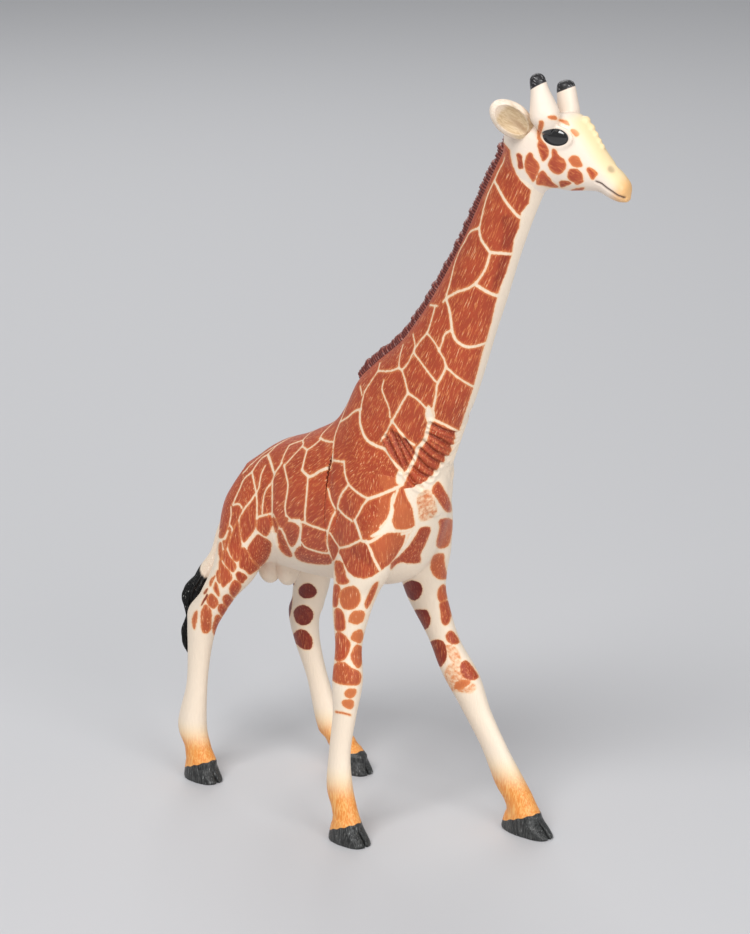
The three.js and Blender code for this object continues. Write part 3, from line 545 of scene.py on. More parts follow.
# Patches that stand apart: how dark, from -1 for pale orange to 1 for maroon, and their outline
lone_patches_px = [
    (0.0, [(335, 563), (338, 561), (342, 563), (344, 569), (346, 577),
           (349, 582), (344, 584), (338, 583), (336, 576)]),
    (0.1, [(334, 586), (338, 585), (340, 590), (338, 600), (337, 606), (333, 606), (333, 596)]),
    (-0.4, [(342, 590), (349, 587), (355, 587), (359, 592), (360, 600),
            (355, 608), (345, 609), (341, 604), (340, 597)]),
    (0.0, [(335, 610), (340, 609), (344, 615), (345, 625), (344, 630), (336, 630), (335, 620)]),
    (-0.7, [(349, 620), (351, 614), (356, 611), (364, 612), (363, 620), (357, 624), (350, 622)]),
    (0.0, [(336, 634), (341, 633), (346, 637), (350, 643), (349, 650),
           (346, 657), (341, 661), (335, 659), (335, 648)]),
    (-0.7, [(352, 636), (354, 632), (361, 630), (363, 636), (360, 643), (355, 641), (351, 639)]),
    (-0.3, [(353, 650), (357, 645), (362, 648), (362, 660), (359, 668), (354, 664), (351, 657)]),
    (-0.2, [(331, 676), (333, 668), (337, 663), (345, 663), (351, 668), (358, 671),
            (361, 676), (359, 684), (350, 685), (340, 684), (334, 681)]),
    (-0.8, [(345, 693), (349, 689), (356, 690), (354, 696), (350, 698), (346, 696)]),
    (-0.8, [(342, 703), (346, 700), (353, 701), (352, 708), (347, 708)]),
    (-0.1, [(365, 604), (367, 608), (372, 600), (376, 590), (378, 582), (373, 586), (368, 596)]),
    (-0.5, [(336, 711.3), (342, 712.4), (350, 714.6), (350, 715.4), (342, 713.4), (336, 712.3)]),
    (-1.0, [(447, 668), (456, 664), (466, 678), (475, 686), (471, 692), (459, 691), (450, 689), (445, 680)]),
    (1.0, [(403, 586), (408, 582), (414, 581), (420, 584), (422, 591),
           (418, 598), (413, 600), (408, 596), (404, 591)]),
    (0.8, [(415, 611), (421, 610), (427, 611), (430, 619), (428, 627), (423, 629), (418, 622)]),
    (0.6, [(430, 643), (436, 640), (443, 642), (446, 649), (446, 658),
           (441, 666), (438, 664), (434, 655), (430, 648)]),
    (-0.2, [(438, 592), (440, 587), (444, 585), (447, 590), (447, 598), (441, 602), (438, 598)]),
    (0.1, [(440, 604), (445, 601), (449, 602), (451, 610), (450, 620), (446, 625), (442, 622), (441, 612)]),
    (0.1, [(446, 636), (450, 631), (455, 634), (459, 642), (453, 644), (448, 641)]),
    (-1.0, [(447, 646), (455, 648), (460, 658), (459, 664), (452, 660), (448, 652)]),
    (0.3, [(461, 664), (465, 661), (470, 664), (475, 671), (478, 677), (472, 680), (465, 678), (461, 672)]),
    (-0.7, [(455, 684), (460, 681), (466, 680), (470, 683), (464, 687), (456, 689)]),
    (-1.0, [(418, 498), (424, 491), (430, 492), (435, 504), (436, 512), (430, 518), (421, 520), (419, 510)]),
    (-0.8, [(432, 490), (438, 482), (444, 490), (450, 502), (451, 511), (446, 511), (440, 503), (436, 497)]),
    (-0.3, [(440, 520), (452, 520), (451, 535), (448, 545), (442, 548), (437, 546), (438, 536), (440, 528)]),
    (-0.3, [(435, 555), (443, 554), (444, 562), (446, 572), (447, 578),
            (440, 579), (434, 575), (431, 568), (432, 560)]),
    (0.3, [(421, 528), (430, 528), (428, 537), (424, 546), (420, 554), (420, 562), (410, 563),
           (400, 562), (394, 566), (391, 569), (392, 563), (400, 556), (410, 545), (416, 536)]),
    (1.0, [(299, 590), (303, 585), (310, 584), (316, 590), (314, 596), (307, 598), (301, 596)]),
    (0.9, [(294, 612), (300, 606), (308, 607), (313, 614), (310, 622), (304, 625), (297, 622)]),
    (0.7, [(293, 636), (299, 630), (307, 632), (312, 640), (311, 648), (304, 649), (296, 643)]),
    (1.0, [(288, 574), (291, 577), (294, 584), (291, 584), (288, 578)]),
    (1.0, [(289, 606), (292, 597), (291, 608), (289, 617), (286, 618)]),
    (0.0, [(224, 520), (229, 520), (226, 532), (222, 538), (219, 536), (221, 528)]),
    (0.0, [(226, 540), (229, 532), (231, 532), (229, 540), (226, 549), (224, 548), (223, 541)]),
    (0.0, [(229, 543), (232, 534), (236, 524), (238, 522), (240, 535), (241, 545),
           (241, 553), (239, 560), (235, 561), (231, 555), (229, 549)]),
    (0.0, [(242, 515), (250, 514), (256, 520), (255, 527), (252, 533),
           (245, 541), (243, 541), (241, 533), (240, 522)]),
    (0.0, [(257, 528), (258, 520), (264, 518), (271, 519), (270, 530), (266, 536), (260, 532)]),
    (0.2, [(248, 548), (254, 539), (258, 535), (264, 538), (270, 542), (271, 547),
           (269, 555), (265, 562), (260, 566), (254, 561), (250, 555)]),
    (0.1, [(240, 550), (244, 548), (248, 553), (252, 561), (258, 566), (259, 568),
           (254, 572), (249, 574), (245, 570), (240, 567), (240, 559)]),
    (0.0, [(223, 552), (226, 550), (229, 556), (234, 562), (236, 567),
           (233, 572), (229, 569), (224, 562), (222, 557)]),
    (0.0, [(219, 545), (221, 543), (222, 552), (222, 558), (221, 560), (219, 554)]),
    (-0.1, [(220, 560), (223, 565), (229, 571), (232, 578), (227, 584), (223, 587), (221, 582), (219, 572)]),
    (0.2, [(238, 572), (242, 573), (247, 577), (244, 581), (242, 583), (238, 580), (236, 575)]),
    (0.0, [(230, 592), (230, 587), (235, 580), (241, 585), (239, 591), (234, 597), (231, 595)]),
    (0.1, [(223, 598), (226, 595), (229, 595), (233, 600), (230, 604), (227, 607), (224, 603)]),
    (0.1, [(218, 608), (221, 604), (226, 607), (227, 610), (223, 616), (220, 613)]),
    (-0.2, [(207, 600), (211, 594), (215, 597), (218, 602), (216, 607), (212, 608), (208, 604)]),
    (0.0, [(215.8, 582.3), (217.6, 587), (219, 592), (218.8, 596), (216, 593), (213.8, 589), (214.2, 586)]),
    (0.2, [(216.4, 574), (218.2, 570), (218.6, 576), (219.6, 583.2), (217.6, 580.5)]),
    (-0.2, [(201, 615), (203, 608), (206, 605), (211, 611), (211, 622), (210, 630), (206, 633), (202, 630)]),
    (-0.1, [(214, 622), (217, 615), (222, 619), (219, 626), (216, 635), (214, 634), (213, 628)]),
    (-0.3, [(192.4, 620), (194.2, 614), (196.6, 611), (197, 616), (195.6, 624), (194.4, 629), (193, 626)]),
    (0.0, [(209.8, 586), (210.2, 581.5), (212.5, 578), (215.4, 575.6), (213.2, 580), (211, 585)]),
    (0.6, [(204, 594), (205, 591), (207.4, 588.8), (206.4, 592)]),
    (0.8, [(201, 605.8), (203.6, 600), (207, 595), (207, 596.4), (204.6, 601)]),
    (0.1, [(271, 519), (275, 519), (278, 527), (275, 533), (273, 528)]),
    (0.1, [(277, 533), (280, 530), (284, 538), (288, 547), (292, 556), (286, 555), (280, 549), (277, 541)]),
    (0.1, [(283, 527), (289, 522), (298, 526), (299, 531), (297, 540), (293, 546), (290, 545), (286, 535)]),
    (0.1, [(277, 519), (283, 517), (288, 519), (284, 526), (280, 527)]),
    (0.2, [(295, 553), (299, 547), (305, 549), (315, 553), (329, 556),
           (331, 563), (320, 564), (305, 562), (297, 558)]),
]

# Folds pressed into the neck's foot, their grooves darkened with painted shade
fold_lines_px = [
    [(386, 437), (394, 453), (402, 470)],
    [(392, 432), (400, 450), (408, 469)],
    [(397, 435), (405, 449), (413, 462)],
    [(405, 440), (410, 448), (414, 455)],
    [(431, 424), (443, 430), (457, 434)],
    [(428, 434), (440, 440), (455, 449)],
    [(423, 441), (434, 451), (449, 459)],
    [(420, 449), (430, 458), (441, 464)],
    [(417, 457), (425, 466), (435, 472)],
    [(413, 467), (421, 474), (430, 478)],
    [(408, 475), (414, 483), (421, 488)],
]
fold_groove_width = 0.36
fold_groove_depth = 0.5
fold_roll_from_groove = 0.8
fold_roll_height = 0.3
fold_painted_shade = 0.55
coat_lines = routes_on(body_skin, coat_lines_px)

# Lines that run over the back, from where the camera loses them to the same place on the far side
back_line_px = [(340, 422), (331, 425), (310, 433), (284, 441), (243, 473)]
back_line_half_width = 0.21
back_line_bow = 0.9
back_line_points = 25
back_line_search = (-2, 12)
back_line_halvings = 16
for flank_x, flank_y, flank_z in onto(body_skin, back_line_px):
    share = np.linspace(0, 1, back_line_points)
    across = flank_y * (1 - 2 * share)
    place = flank_x + back_line_bow * np.sin(np.pi * share)
    low, high = (np.full(len(share), flank_z + shift) for shift in back_line_search)
    for _ in range(back_line_halvings):
        middle = (low + high) / 2
        inside = body_skin(place, across, middle) < 0
        low, high = np.where(inside, middle, low), np.where(inside, high, middle)
    coat_lines.append((back_line_half_width, np.stack((place, across, low), 1)))

# Soft creases between the muscles of the flank
crease_lines_px = [
    [(330, 462), (328, 478), (329, 494), (333, 508), (338, 520)],
    [(271, 478), (271, 496), (270, 512), (273, 528), (279, 544)],
    [(252, 478), (254, 492), (256, 508), (256, 520)],
    [(392, 500), (386, 520), (376, 540), (368, 556)],
]
crease_width = 1.1
crease_depth = 0.34
crease_reach = 3.0
fold_reach = 2.0
crease_lines, fold_lines = (
    [(0.0, onto(body_skin, smooth_rows(line, 4))) for line in lines_px]
    for lines_px in (crease_lines_px, fold_lines_px)
)


far_facing = -0.12


def facing(normals):
    """How far a surface faces the camera, from -1 to 1."""
    return normals @ view_back


def shown_point(points, normals):
    """Points as the camera would see them, with the far side laid over the near one."""
    far = (points[:, 1] > 0) & (facing(normals) < far_facing)
    return np.where(far[:, None], mirrored(points), points)


def fold_grooves(points, normals):
    """Points shaped into the moulded folds, and how deep in a groove each lies, from 0 to 1."""
    near = points.copy()
    near[:, 1] = -np.abs(near[:, 1])
    crease = np.exp(-((near_lines(near, crease_lines, crease_reach) / crease_width) ** 2))
    points = points - normals * (crease_depth * crease)[:, None]
    gap = near_lines(near, fold_lines, fold_reach)
    share = np.exp(-((gap / fold_groove_width) ** 2))
    roll = np.exp(-(((gap - fold_roll_from_groove) / fold_groove_width) ** 2))
    return points + normals * (fold_roll_height * roll - fold_groove_depth * share)[:, None], share


# Patches behind the rump, where no line was seen: their middles, out and up, in millimetres
rump_patches = [
    (0.0, 66.5), (3.6, 63.6), (-3.6, 63.6), (0.6, 60.5), (6.4, 60.6), (-6.4, 60.6),
    (5.0, 56.6), (-5.0, 56.6), (8.0, 56.0), (-8.0, 56.0), (6.8, 52.4), (-6.8, 52.4),
]
rump_line_width = 0.5


def rump_cells(points):
    """Distance from the lines between the patches behind the rump."""
    spots = np.array(rump_patches)
    away = np.sort(np.linalg.norm(points[:, None, 1:] - spots, axis=2), axis=1)
    return (away[:, 1] - away[:, 0]) / 2 - rump_line_width / 2


ring_margin_px = 6
far_px = 99.0


def ring_depth(pixels, outline):
    """How deep inside a closed outline each pixel place lies, in pixels; negative outside."""
    ring = smooth_ring(outline)
    depth = np.full(len(pixels), -far_px)
    low, high = ring.min(0) - ring_margin_px, ring.max(0) + ring_margin_px
    near = np.flatnonzero(((pixels > low) & (pixels < high)).all(1))
    if not len(near):
        return depth
    spots = pixels[near]
    gap = np.full(len(near), far_px)
    inside = np.zeros(len(near), bool)
    for start, end in zip(ring, np.roll(ring, -1, axis=0)):
        way = end - start
        gap = np.minimum(gap, gap_to(spots, start, end))
        spans = (start[1] > spots[:, 1]) != (end[1] > spots[:, 1])
        reach = start[0] + (spots[:, 1] - start[1]) * way[0] / (way[1] if way[1] else 1e-9)
        inside ^= spans & (spots[:, 0] < reach)
    depth[near] = np.where(inside, gap, -gap)
    return depth


def smooth_ring(outline, finer=3):
    """A closed outline made finer by a smooth curve."""
    padded = np.array(outline[-2:] + outline + outline[:3], float)
    fine = smooth_rows(padded, finer)
    return fine[2 * finer : (2 + len(outline)) * finer]


brush_spread = 0.12
speckled = -1.0
speckle_depth_px = -0.6
paint_reach = 2.5


def patch_depths(pixels, patches):
    """Depth inside the nearest of some patches, in millimetres, and that patch's darkness."""
    best = np.full(len(pixels), -far_px)
    tone = np.zeros(len(pixels))
    for dark, outline in patches:
        depth = np.minimum(ring_depth(pixels, outline), speckle_depth_px if dark == speckled else far_px)
        nearer = depth > best
        best = np.where(nearer, depth, best)
        tone = np.where(nearer, dark, tone)
    return np.maximum(best / px_per_mm + brush_spread, -paint_reach), tone


# Bare ground between patches that is wider than a line
bare_patches_px = [
    [(395, 492), (393, 500), (394, 512), (392, 522), (396, 531), (388, 533), (375, 537), (370, 536),
     (380, 529), (387, 519), (390, 508), (391, 498)],
    [(428, 405), (433, 412), (433, 418), (428, 422), (425, 414)],
    [(400, 470), (404, 474), (402, 484), (397, 484), (396, 476)],
]

# Where the joined coat is painted darker or paler: by how much, and the outline
shade_patches_px = [
    (0.5, [(501, 216), (510, 215), (517, 219), (518, 230), (514, 242), (508, 249), (501, 247), (503, 232)]),
    (0.5, [(501, 255), (510, 254), (506, 272), (499, 288), (491, 290), (496, 272)]),
    (0.35, [(352, 545), (366, 543), (374, 556), (372, 566), (360, 560), (352, 554)]),
    (-0.45, [(399, 493), (404, 497), (409, 506), (413, 514), (412, 526),
             (404, 533), (395, 530), (394, 515), (396, 503)]),
    (-0.3, [(373, 543), (386, 536), (399, 533), (404, 538), (396, 552), (383, 563), (375, 556)]),
    (-0.3, [(378, 500), (390, 496), (389, 510), (382, 524), (368, 536), (364, 532), (376, 518)]),
    (-0.35, [(380, 462), (392, 464), (400, 474), (397, 484), (384, 490), (378, 478)]),
]
shade_edge_px = (-2.0, 3.0)
line_join = 0.3


def coat_depths(shown, lines):
    """How deep inside a patch of the coat each point lies, in millimetres, and how dark it is."""
    pixels = to_photo(shown)
    throat_edge = np.array(throat_edge_px, float)
    ground_edge = np.array(ground_edge_px, float)
    ahead = np.interp(pixels[:, 1], throat_edge[:, 1], throat_edge[:, 0]) - pixels[:, 0]
    above = np.interp(pixels[:, 0], ground_edge[:, 0], ground_edge[:, 1]) - pixels[:, 1]
    joined = near_lines(shown, lines, paint_reach, line_join)
    joined = np.minimum(joined, np.minimum(ahead, above) / px_per_mm)
    for outline in bare_patches_px:
        joined = np.minimum(joined, -ring_depth(pixels, outline) / px_per_mm)
    alone, tone = patch_depths(pixels, lone_patches_px)
    shade = np.zeros(len(pixels))
    for dark, outline in shade_patches_px:
        shade = shade + dark * ease(ring_depth(pixels, outline), *shade_edge_px)
    return np.maximum(joined, alone), np.where(alone > joined, tone, shade)


belly_tilt = -0.6
belly_fade = 9
rump_reach = 9
rump_tilt = -0.5


def body_paint(points, normals, lines):
    """The paint masks of the trunk and neck: the belly is bare and the rump has its own cells."""
    patch, tone = coat_depths(shown_point(points, normals), lines)
    belly_gap = (normals[:, 2] - belly_tilt) * belly_fade
    low = points[:, 2] < belly_height + trunk_depth / 2
    patch = np.minimum(patch, np.where(low, belly_gap, paint_reach))
    unseen = np.maximum(facing(normals), facing(mirrored(normals))) < 0
    behind = unseen & (points[:, 0] < rump_x + rump_reach) & (normals[:, 2] > rump_tilt)
    patch = np.where(behind, rump_cells(points), patch)
    return {
        "patch": patch,
        "tone": tone,
        "pastern": np.zeros(len(points)),
        "hoof": np.full(len(points), -1.0),
    }


def feed(tree, node, sources):
    """A node's inputs, each linked to another node's output or set to a value."""
    for name, source in dict(sources).items():
        if isinstance(source, bpy.types.NodeSocket):
            tree.links.new(source, node.inputs[name])
        else:
            node.inputs[name].default_value = source


def new_node(tree, kind, sources=(), **settings):
    """A shader node with its settings and its inputs."""
    made = tree.nodes.new(kind)
    for name, value in settings.items():
        setattr(made, name, value)
    feed(tree, made, sources)
    return made


def new_group(name, inputs, outputs):
    """An empty node group with named sockets."""
    group = bpy.data.node_groups.new(name, "ShaderNodeTree")
    for label, kind, value in inputs:
        socket = group.interface.new_socket(label, in_out="INPUT", socket_type=kind)
        socket.default_value = value
    for label, kind in outputs:
        group.interface.new_socket(label, in_out="OUTPUT", socket_type=kind)
    return group, group.nodes.new("NodeGroupInput"), group.nodes.new("NodeGroupOutput")


def placed(tree, group, sources=()):
    """A node group placed in a material."""
    return new_node(tree, "ShaderNodeGroup", sources, node_tree=group)


def mixed(tree, factor, first, second):
    """The colour between two colours."""
    sources = {0: factor, 6: first, 7: second}
    return new_node(tree, "ShaderNodeMix", sources, data_type="RGBA").outputs[2]


def figured(tree, operation, *values):
    """The result of a Math node."""
    return new_node(tree, "ShaderNodeMath", enumerate(values), operation=operation).outputs[0]


def stepped(tree, value, low, high):
    """A smooth step from 0 at low to 1 at high."""
    sources = {"Value": value, "From Min": low, "From Max": high}
    return new_node(
        tree, "ShaderNodeMapRange", sources, interpolation_type="SMOOTHSTEP"
    ).outputs["Result"]


def mask_of(tree, label):
    """A paint mask that the casting carries under this name."""
    return new_node(tree, "ShaderNodeAttribute", attribute_name=label).outputs["Fac"]


def srgb(red, green, blue):
    """A colour given in the 0 to 255 scale of a paint chart."""
    values = np.array((red, green, blue)) / 255
    linear = np.where(values <= 0.04045, values / 12.92, ((values + 0.055) / 1.055) ** 2.4)
    return (*linear.tolist(), 1.0)


# Engraved hair: fine strokes along one direction, as a shade and as a height
hair_group, hair_in, hair_out = new_group(
    "engraved_hair",
    [
        ("Along", "NodeSocketVector", (0, 0, 1)),
        ("Stroke Scale", "NodeSocketFloat", 4000),
    ],
    [("Shade", "NodeSocketFloat"), ("Height", "NodeSocketFloat")],
)
hair_stretch = 0.89
hair_shade_from_to = (0.4, 0.64)
place = new_node(hair_group, "ShaderNodeTexCoord").outputs["Object"]
along = hair_in.outputs["Along"]
run = new_node(hair_group, "ShaderNodeVectorMath", {0: place, 1: along}, operation="DOT_PRODUCT")
run = figured(hair_group, "MULTIPLY", run.outputs["Value"], hair_stretch)
back = new_node(hair_group, "ShaderNodeVectorMath", {0: along, "Scale": run}, operation="SCALE")
drawn = new_node(
    hair_group, "ShaderNodeVectorMath", {0: place, 1: back.outputs["Vector"]}, operation="SUBTRACT"
)
strokes = new_node(
    hair_group,
    "ShaderNodeTexNoise",
    {"Vector": drawn.outputs["Vector"], "Scale": hair_in.outputs["Stroke Scale"], "Detail": 3.0,
     "Roughness": 0.6, "Distortion": 0.3},
).outputs[0]
feed(hair_group, hair_out, {"Shade": stepped(hair_group, strokes, *hair_shade_from_to), "Height": strokes})

# Patch paint: rust patches with lighter edges over a warm pale ground. Depths are in millimetres.
edge_wobble = 0.3
mask_from_to = (-0.06, 0.09)
rim_from_to = (0.03, 0.5)
rim_least = 0.38
rim_tone = 0.6
halo_from_to = (-0.34, -0.02)
halo_strength = 0.6
cloud_from_to = (0.35, 0.65)
cloud_darkness = 0.22
least_darkness = 0.04
tone_darkness = 0.82
tone_paleness = 0.75
scratch_from_to = (0.5, 1.0)
scratch_strength = 0.62
scratch_tone = 0.55
patch_group, patch_in, patch_out = new_group(
    "patch_paint",
    [
        ("Depth", "NodeSocketFloat", 0.0),
        ("Shade", "NodeSocketFloat", 0.5),
        ("Tone", "NodeSocketFloat", 0.0),
        ("Patch", "NodeSocketColor", srgb(184, 76, 42)),
        ("Deep", "NodeSocketColor", srgb(112, 24, 12)),
        ("Edge", "NodeSocketColor", srgb(226, 138, 78)),
        ("Ground", "NodeSocketColor", srgb(245, 227, 205)),
        ("Halo", "NodeSocketColor", srgb(244, 200, 152)),
    ],
    [("Color", "NodeSocketColor"), ("Mask", "NodeSocketFloat")],
)
edge_noise, cloud_noise = (
    new_node(
        patch_group,
        "ShaderNodeTexNoise",
        {"Vector": new_node(patch_group, "ShaderNodeTexCoord").outputs["Object"], "Scale": scale,
         "Detail": detail},
    ).outputs[0]
    for scale, detail in ((1400.0, 2.0), (260.0, 3.0))
)
wobble = figured(patch_group, "MULTIPLY_ADD", edge_noise, edge_wobble, -edge_wobble / 2)
depth = figured(patch_group, "ADD", patch_in.outputs["Depth"], wobble)
mask = stepped(patch_group, depth, *mask_from_to)
rim = stepped(patch_group, depth, *rim_from_to)
cloud = stepped(patch_group, cloud_noise, *cloud_from_to)
darker = figured(patch_group, "MULTIPLY_ADD", cloud, cloud_darkness, least_darkness)
dark_tone = figured(patch_group, "MAXIMUM", patch_in.outputs["Tone"], 0.0)
darker = figured(patch_group, "MULTIPLY_ADD", dark_tone, tone_darkness, darker)
pale_tone = figured(patch_group, "MINIMUM", patch_in.outputs["Tone"], 0.0)
paler = figured(patch_group, "MULTIPLY", pale_tone, -tone_paleness)
scratch = stepped(patch_group, patch_in.outputs["Shade"], *scratch_from_to)
scratched = figured(patch_group, "MULTIPLY_ADD", dark_tone, -scratch_tone, scratch_strength)
paler = figured(patch_group, "MAXIMUM", paler, figured(patch_group, "MULTIPLY", scratch, scratched))
inner = mixed(patch_group, darker, patch_in.outputs["Patch"], patch_in.outputs["Deep"])
inner = mixed(patch_group, paler, inner, patch_in.outputs["Edge"])
rim = figured(patch_group, "MULTIPLY_ADD", rim, 1 - rim_least, rim_least)
rim = figured(patch_group, "MULTIPLY_ADD", dark_tone, rim_tone, rim)
rimmed = mixed(patch_group, figured(patch_group, "MINIMUM", rim, 1.0), patch_in.outputs["Edge"], inner)
halo = figured(patch_group, "MULTIPLY", stepped(patch_group, depth, *halo_from_to), halo_strength)
ground = mixed(patch_group, halo, patch_in.outputs["Ground"], patch_in.outputs["Halo"])
feed(patch_group, patch_out, {"Color": mixed(patch_group, mask, ground, rimmed), "Mask": mask})


def new_paint(name, along):
    """A paint over engraved hair that lies one way: the material, its nodes, shader and hair."""
    material = bpy.data.materials.new(name)
    material.use_nodes = True
    tree = material.node_tree
    return material, tree, tree.nodes["Principled BSDF"], placed(tree, hair_group, {"Along": along})


def finish_paint(tree, shader, height, depth, sources):
    """A paint's shader fed, with a relief so many millimetres deep."""
    relief = new_node(tree, "ShaderNodeBump", {"Height": height, "Distance": depth * MM, "Strength": 1.0})
    feed(tree, shader, {"Normal": relief.outputs["Normal"], **sources})


coat_relief = 0.13
glint_from_to = (0.63, 0.7)
glint_strength = 0.6
glint_tone = 0.55
hoof_glint = 0.5
hoof_from_to = (-0.05, 0.08)
coat_roughness = 0.46
shade_polish = 0.1
hoof_polish = 0.12


def coat_material(name, along):
    """Painted soft plastic: patches, engraved hair, orange pasterns and charcoal hooves."""
    material, tree, shader, hair = new_paint(name, along)
    shade, height = hair.outputs["Shade"], hair.outputs["Height"]
    tone, pastern = mask_of(tree, "tone"), mask_of(tree, "pastern")
    paint = placed(tree, patch_group, {"Depth": mask_of(tree, "patch"), "Shade": shade, "Tone": tone})
    fine = stepped(tree, height, *glint_from_to)
    bright = figured(tree, "MAXIMUM", tone, 0.0)
    bright = figured(tree, "MULTIPLY_ADD", bright, -glint_tone, glint_strength)
    glint = figured(tree, "MULTIPLY", fine, figured(tree, "MULTIPLY", paint.outputs["Mask"], bright))
    colour = mixed(tree, glint, paint.outputs["Color"], srgb(250, 206, 172))
    orange = mixed(tree, shade, srgb(232, 142, 62), srgb(246, 184, 108))
    orange = mixed(tree, pastern, srgb(252, 224, 160), orange)
    colour = mixed(tree, pastern, colour, orange)
    horn = mixed(tree, shade, srgb(30, 31, 31), srgb(74, 75, 74))
    horn = mixed(tree, figured(tree, "MULTIPLY", fine, hoof_glint), horn, srgb(176, 178, 176))
    hoof = stepped(tree, mask_of(tree, "hoof"), *hoof_from_to)
    rough = figured(tree, "MULTIPLY_ADD", shade, -shade_polish, coat_roughness)
    finish_paint(tree, shader, height, coat_relief, {
        "Base Color": mixed(tree, hoof, colour, horn),
        "Roughness": figured(tree, "MULTIPLY_ADD", hoof, -hoof_polish, rough),
        "Specular IOR Level": 0.36,
        "Coat Weight": 0.12,
        "Coat Roughness": 0.3,
    })
    return material


def new_piece(name, points, faces, material, stands_for, values=None):
    """A casting: its mesh in metres, its paint masks, its material and what it stands for."""
    mesh = bpy.data.meshes.new(name)
    mesh.vertices.add(len(points))
    mesh.vertices.foreach_set("co", (points * MM).astype(np.float32).ravel())
    mesh.loops.add(faces.size)
    mesh.loops.foreach_set("vertex_index", faces.astype(np.int32).ravel())
    mesh.polygons.add(len(faces))
    mesh.polygons.foreach_set("loop_start", np.arange(0, faces.size, faces.shape[1], dtype=np.int32))
    mesh.polygons.foreach_set("use_smooth", np.ones(len(faces), bool))
    mesh.update(calc_edges=True)
    mesh.validate()
    for label, data in (values or {}).items():
        attribute = mesh.attributes.new(label, "FLOAT", "POINT")
        attribute.data.foreach_set("value", np.asarray(data, np.float32))
    mesh.materials.append(material)
    piece = bpy.data.objects.new(name, mesh)
    bpy.context.scene.collection.objects.link(piece)
    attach(piece, "root")
    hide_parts(stands_for)


trunk_coat = coat_material("painted_coat_trunk", (0.72, 0.0, 0.69))
neck_coat = coat_material("painted_coat_neck", (0.42, 0.0, 0.91))
body_margin = 2.0
trunk_margin_above = 8.0
trunk_margin_below = 7.0
neck_margin_behind = 20.0
groin_bare_share = 0.3
trunk_side = trunk_width / 2 + body_margin
trunk_top = neck_foot[2] + neck_seam_above_foot + trunk_margin_above
trunk_bottom = belly_height - trunk_margin_below
neck_side = neck_width / 2 + body_margin
neck_low = (neck_foot[0] - neck_margin_behind, -neck_side, neck_foot[2] - body_margin)
neck_high = (neck_foot[0] + neck_reach, neck_side, neck_foot[2] + neck_rise + body_margin)
for name, skin, low, high, node, material in (
    (
        "hind_trunk_casting", hindquarters_skin, (rump_x, -trunk_side, trunk_bottom),
        (seam_x, trunk_side, trunk_top), "hindquarters", trunk_coat,
    ),
    (
        "fore_trunk_casting", forequarters_skin, (seam_x, -trunk_side, trunk_bottom),
        (chest_x + neck_width / 2, trunk_side, trunk_top), "forequarters", trunk_coat,
    ),
    ("neck_casting", neck_casting_skin, neck_low, neck_high, "neck", neck_coat),
):
    points, normals, faces = surface_of(skin, low, high, body_step)
    values = body_paint(points, normals, coat_lines)
    points, groove = fold_grooves(points, normals)
    # Painted shade: the coat is darkened down each fold groove.
    values["tone"] = np.maximum(values["tone"], groove * fold_painted_shade)
    on_groin = groin_skin(*points.T) < groin_radii[1] * groin_bare_share
    values["patch"] = np.where(on_groin, -1.0, values["patch"])
    new_piece(name, points, faces, material, node, values)

# Mane
# A comb of moulded hair that runs down the nape in the neck's own casting, with a ridge for each
# lock. It is maroon, with a painted highlight lighter on the ridge tops.
mane_span_shares = (0.155, 0.93)
mane_height = 1.7
mane_root_depth = 1.4
mane_half_thickness = 1.15
mane_ridge_pitch = 0.64
mane_ridge_share = 0.09
mane_lock_lean = 0.3
mane_sides = 18
mane_steps_per_ridge = 7
mane_end_taper = 1.2
mane_end_least = 0.02
mane_lock_spread = 0.1
mane_squareness = 0.9
mane_highlight_from_to = (0.55, 1.0)
mane_highlight_strength = 0.75
mane_least_highlight = 0.3
mane_random = np.random.default_rng(7)


def closed_tube(rings):
    """Points, and quads all round and over both ends, of a tube through some rings."""
    steps, sides = rings.shape[:2]
    number = np.arange(steps * sides).reshape(steps, sides)
    after = np.roll(number, -1, axis=1)
    walls = np.stack((number[:-1], after[:-1], after[1:], number[1:]), -1).reshape(-1, 4)
    low, high = np.arange(sides // 2 - 1), sides - 1 - np.arange(sides // 2 - 1)
    cap = np.stack((low, low + 1, high - 1, high), -1)
    return rings.reshape(-1, 3), np.vstack((walls, number[0][cap[:, ::-1]], number[-1][cap]))


first, last = (round(share * (len(nape) - 1)) for share in mane_span_shares)
crest = nape[first : last + 1]
run = np.concatenate(([0], np.cumsum(np.linalg.norm(np.diff(crest, axis=0), axis=1))))
along = np.arange(0, run[-1], mane_ridge_pitch / mane_steps_per_ridge)
middle_x, middle_z = (np.interp(along, run, crest[:, axis]) for axis in (0, 1))
course = np.stack(np.gradient(np.stack((middle_x, middle_z)), axis=1))
course /= np.linalg.norm(course, axis=0)
away = np.stack((-course[1], course[0]))
locks = 1 + mane_lock_spread * mane_random.standard_normal(int(run[-1] / mane_ridge_pitch) + 3)
end_share = np.minimum(along, run[-1] - along) / mane_end_taper
end_share = np.sqrt(np.clip(end_share, mane_end_least, 1))
angle = 2 * np.pi * (np.arange(mane_sides) + 0.5) / mane_sides
up_share = np.sign(np.sin(angle)) * np.abs(np.sin(angle)) ** mane_squareness
phase = (along[:, None] + mane_lock_lean * np.maximum(up_share, 0)) / mane_ridge_pitch
lock = np.take(locks, phase.astype(int))
ridge = 0.5 + 0.5 * np.cos(2 * np.pi * phase)
swell = (1 - mane_ridge_share + mane_ridge_share * 2 * ridge) * lock
height = np.where(up_share > 0, mane_height * swell, mane_root_depth) * up_share * end_share[:, None]
out = mane_half_thickness * swell * np.cos(angle) * end_share[:, None]
ring_x = middle_x[:, None] + away[0][:, None] * height
ring_z = middle_z[:, None] + away[1][:, None] * height
points, faces = closed_tube(np.stack((ring_x, out, ring_z), -1))

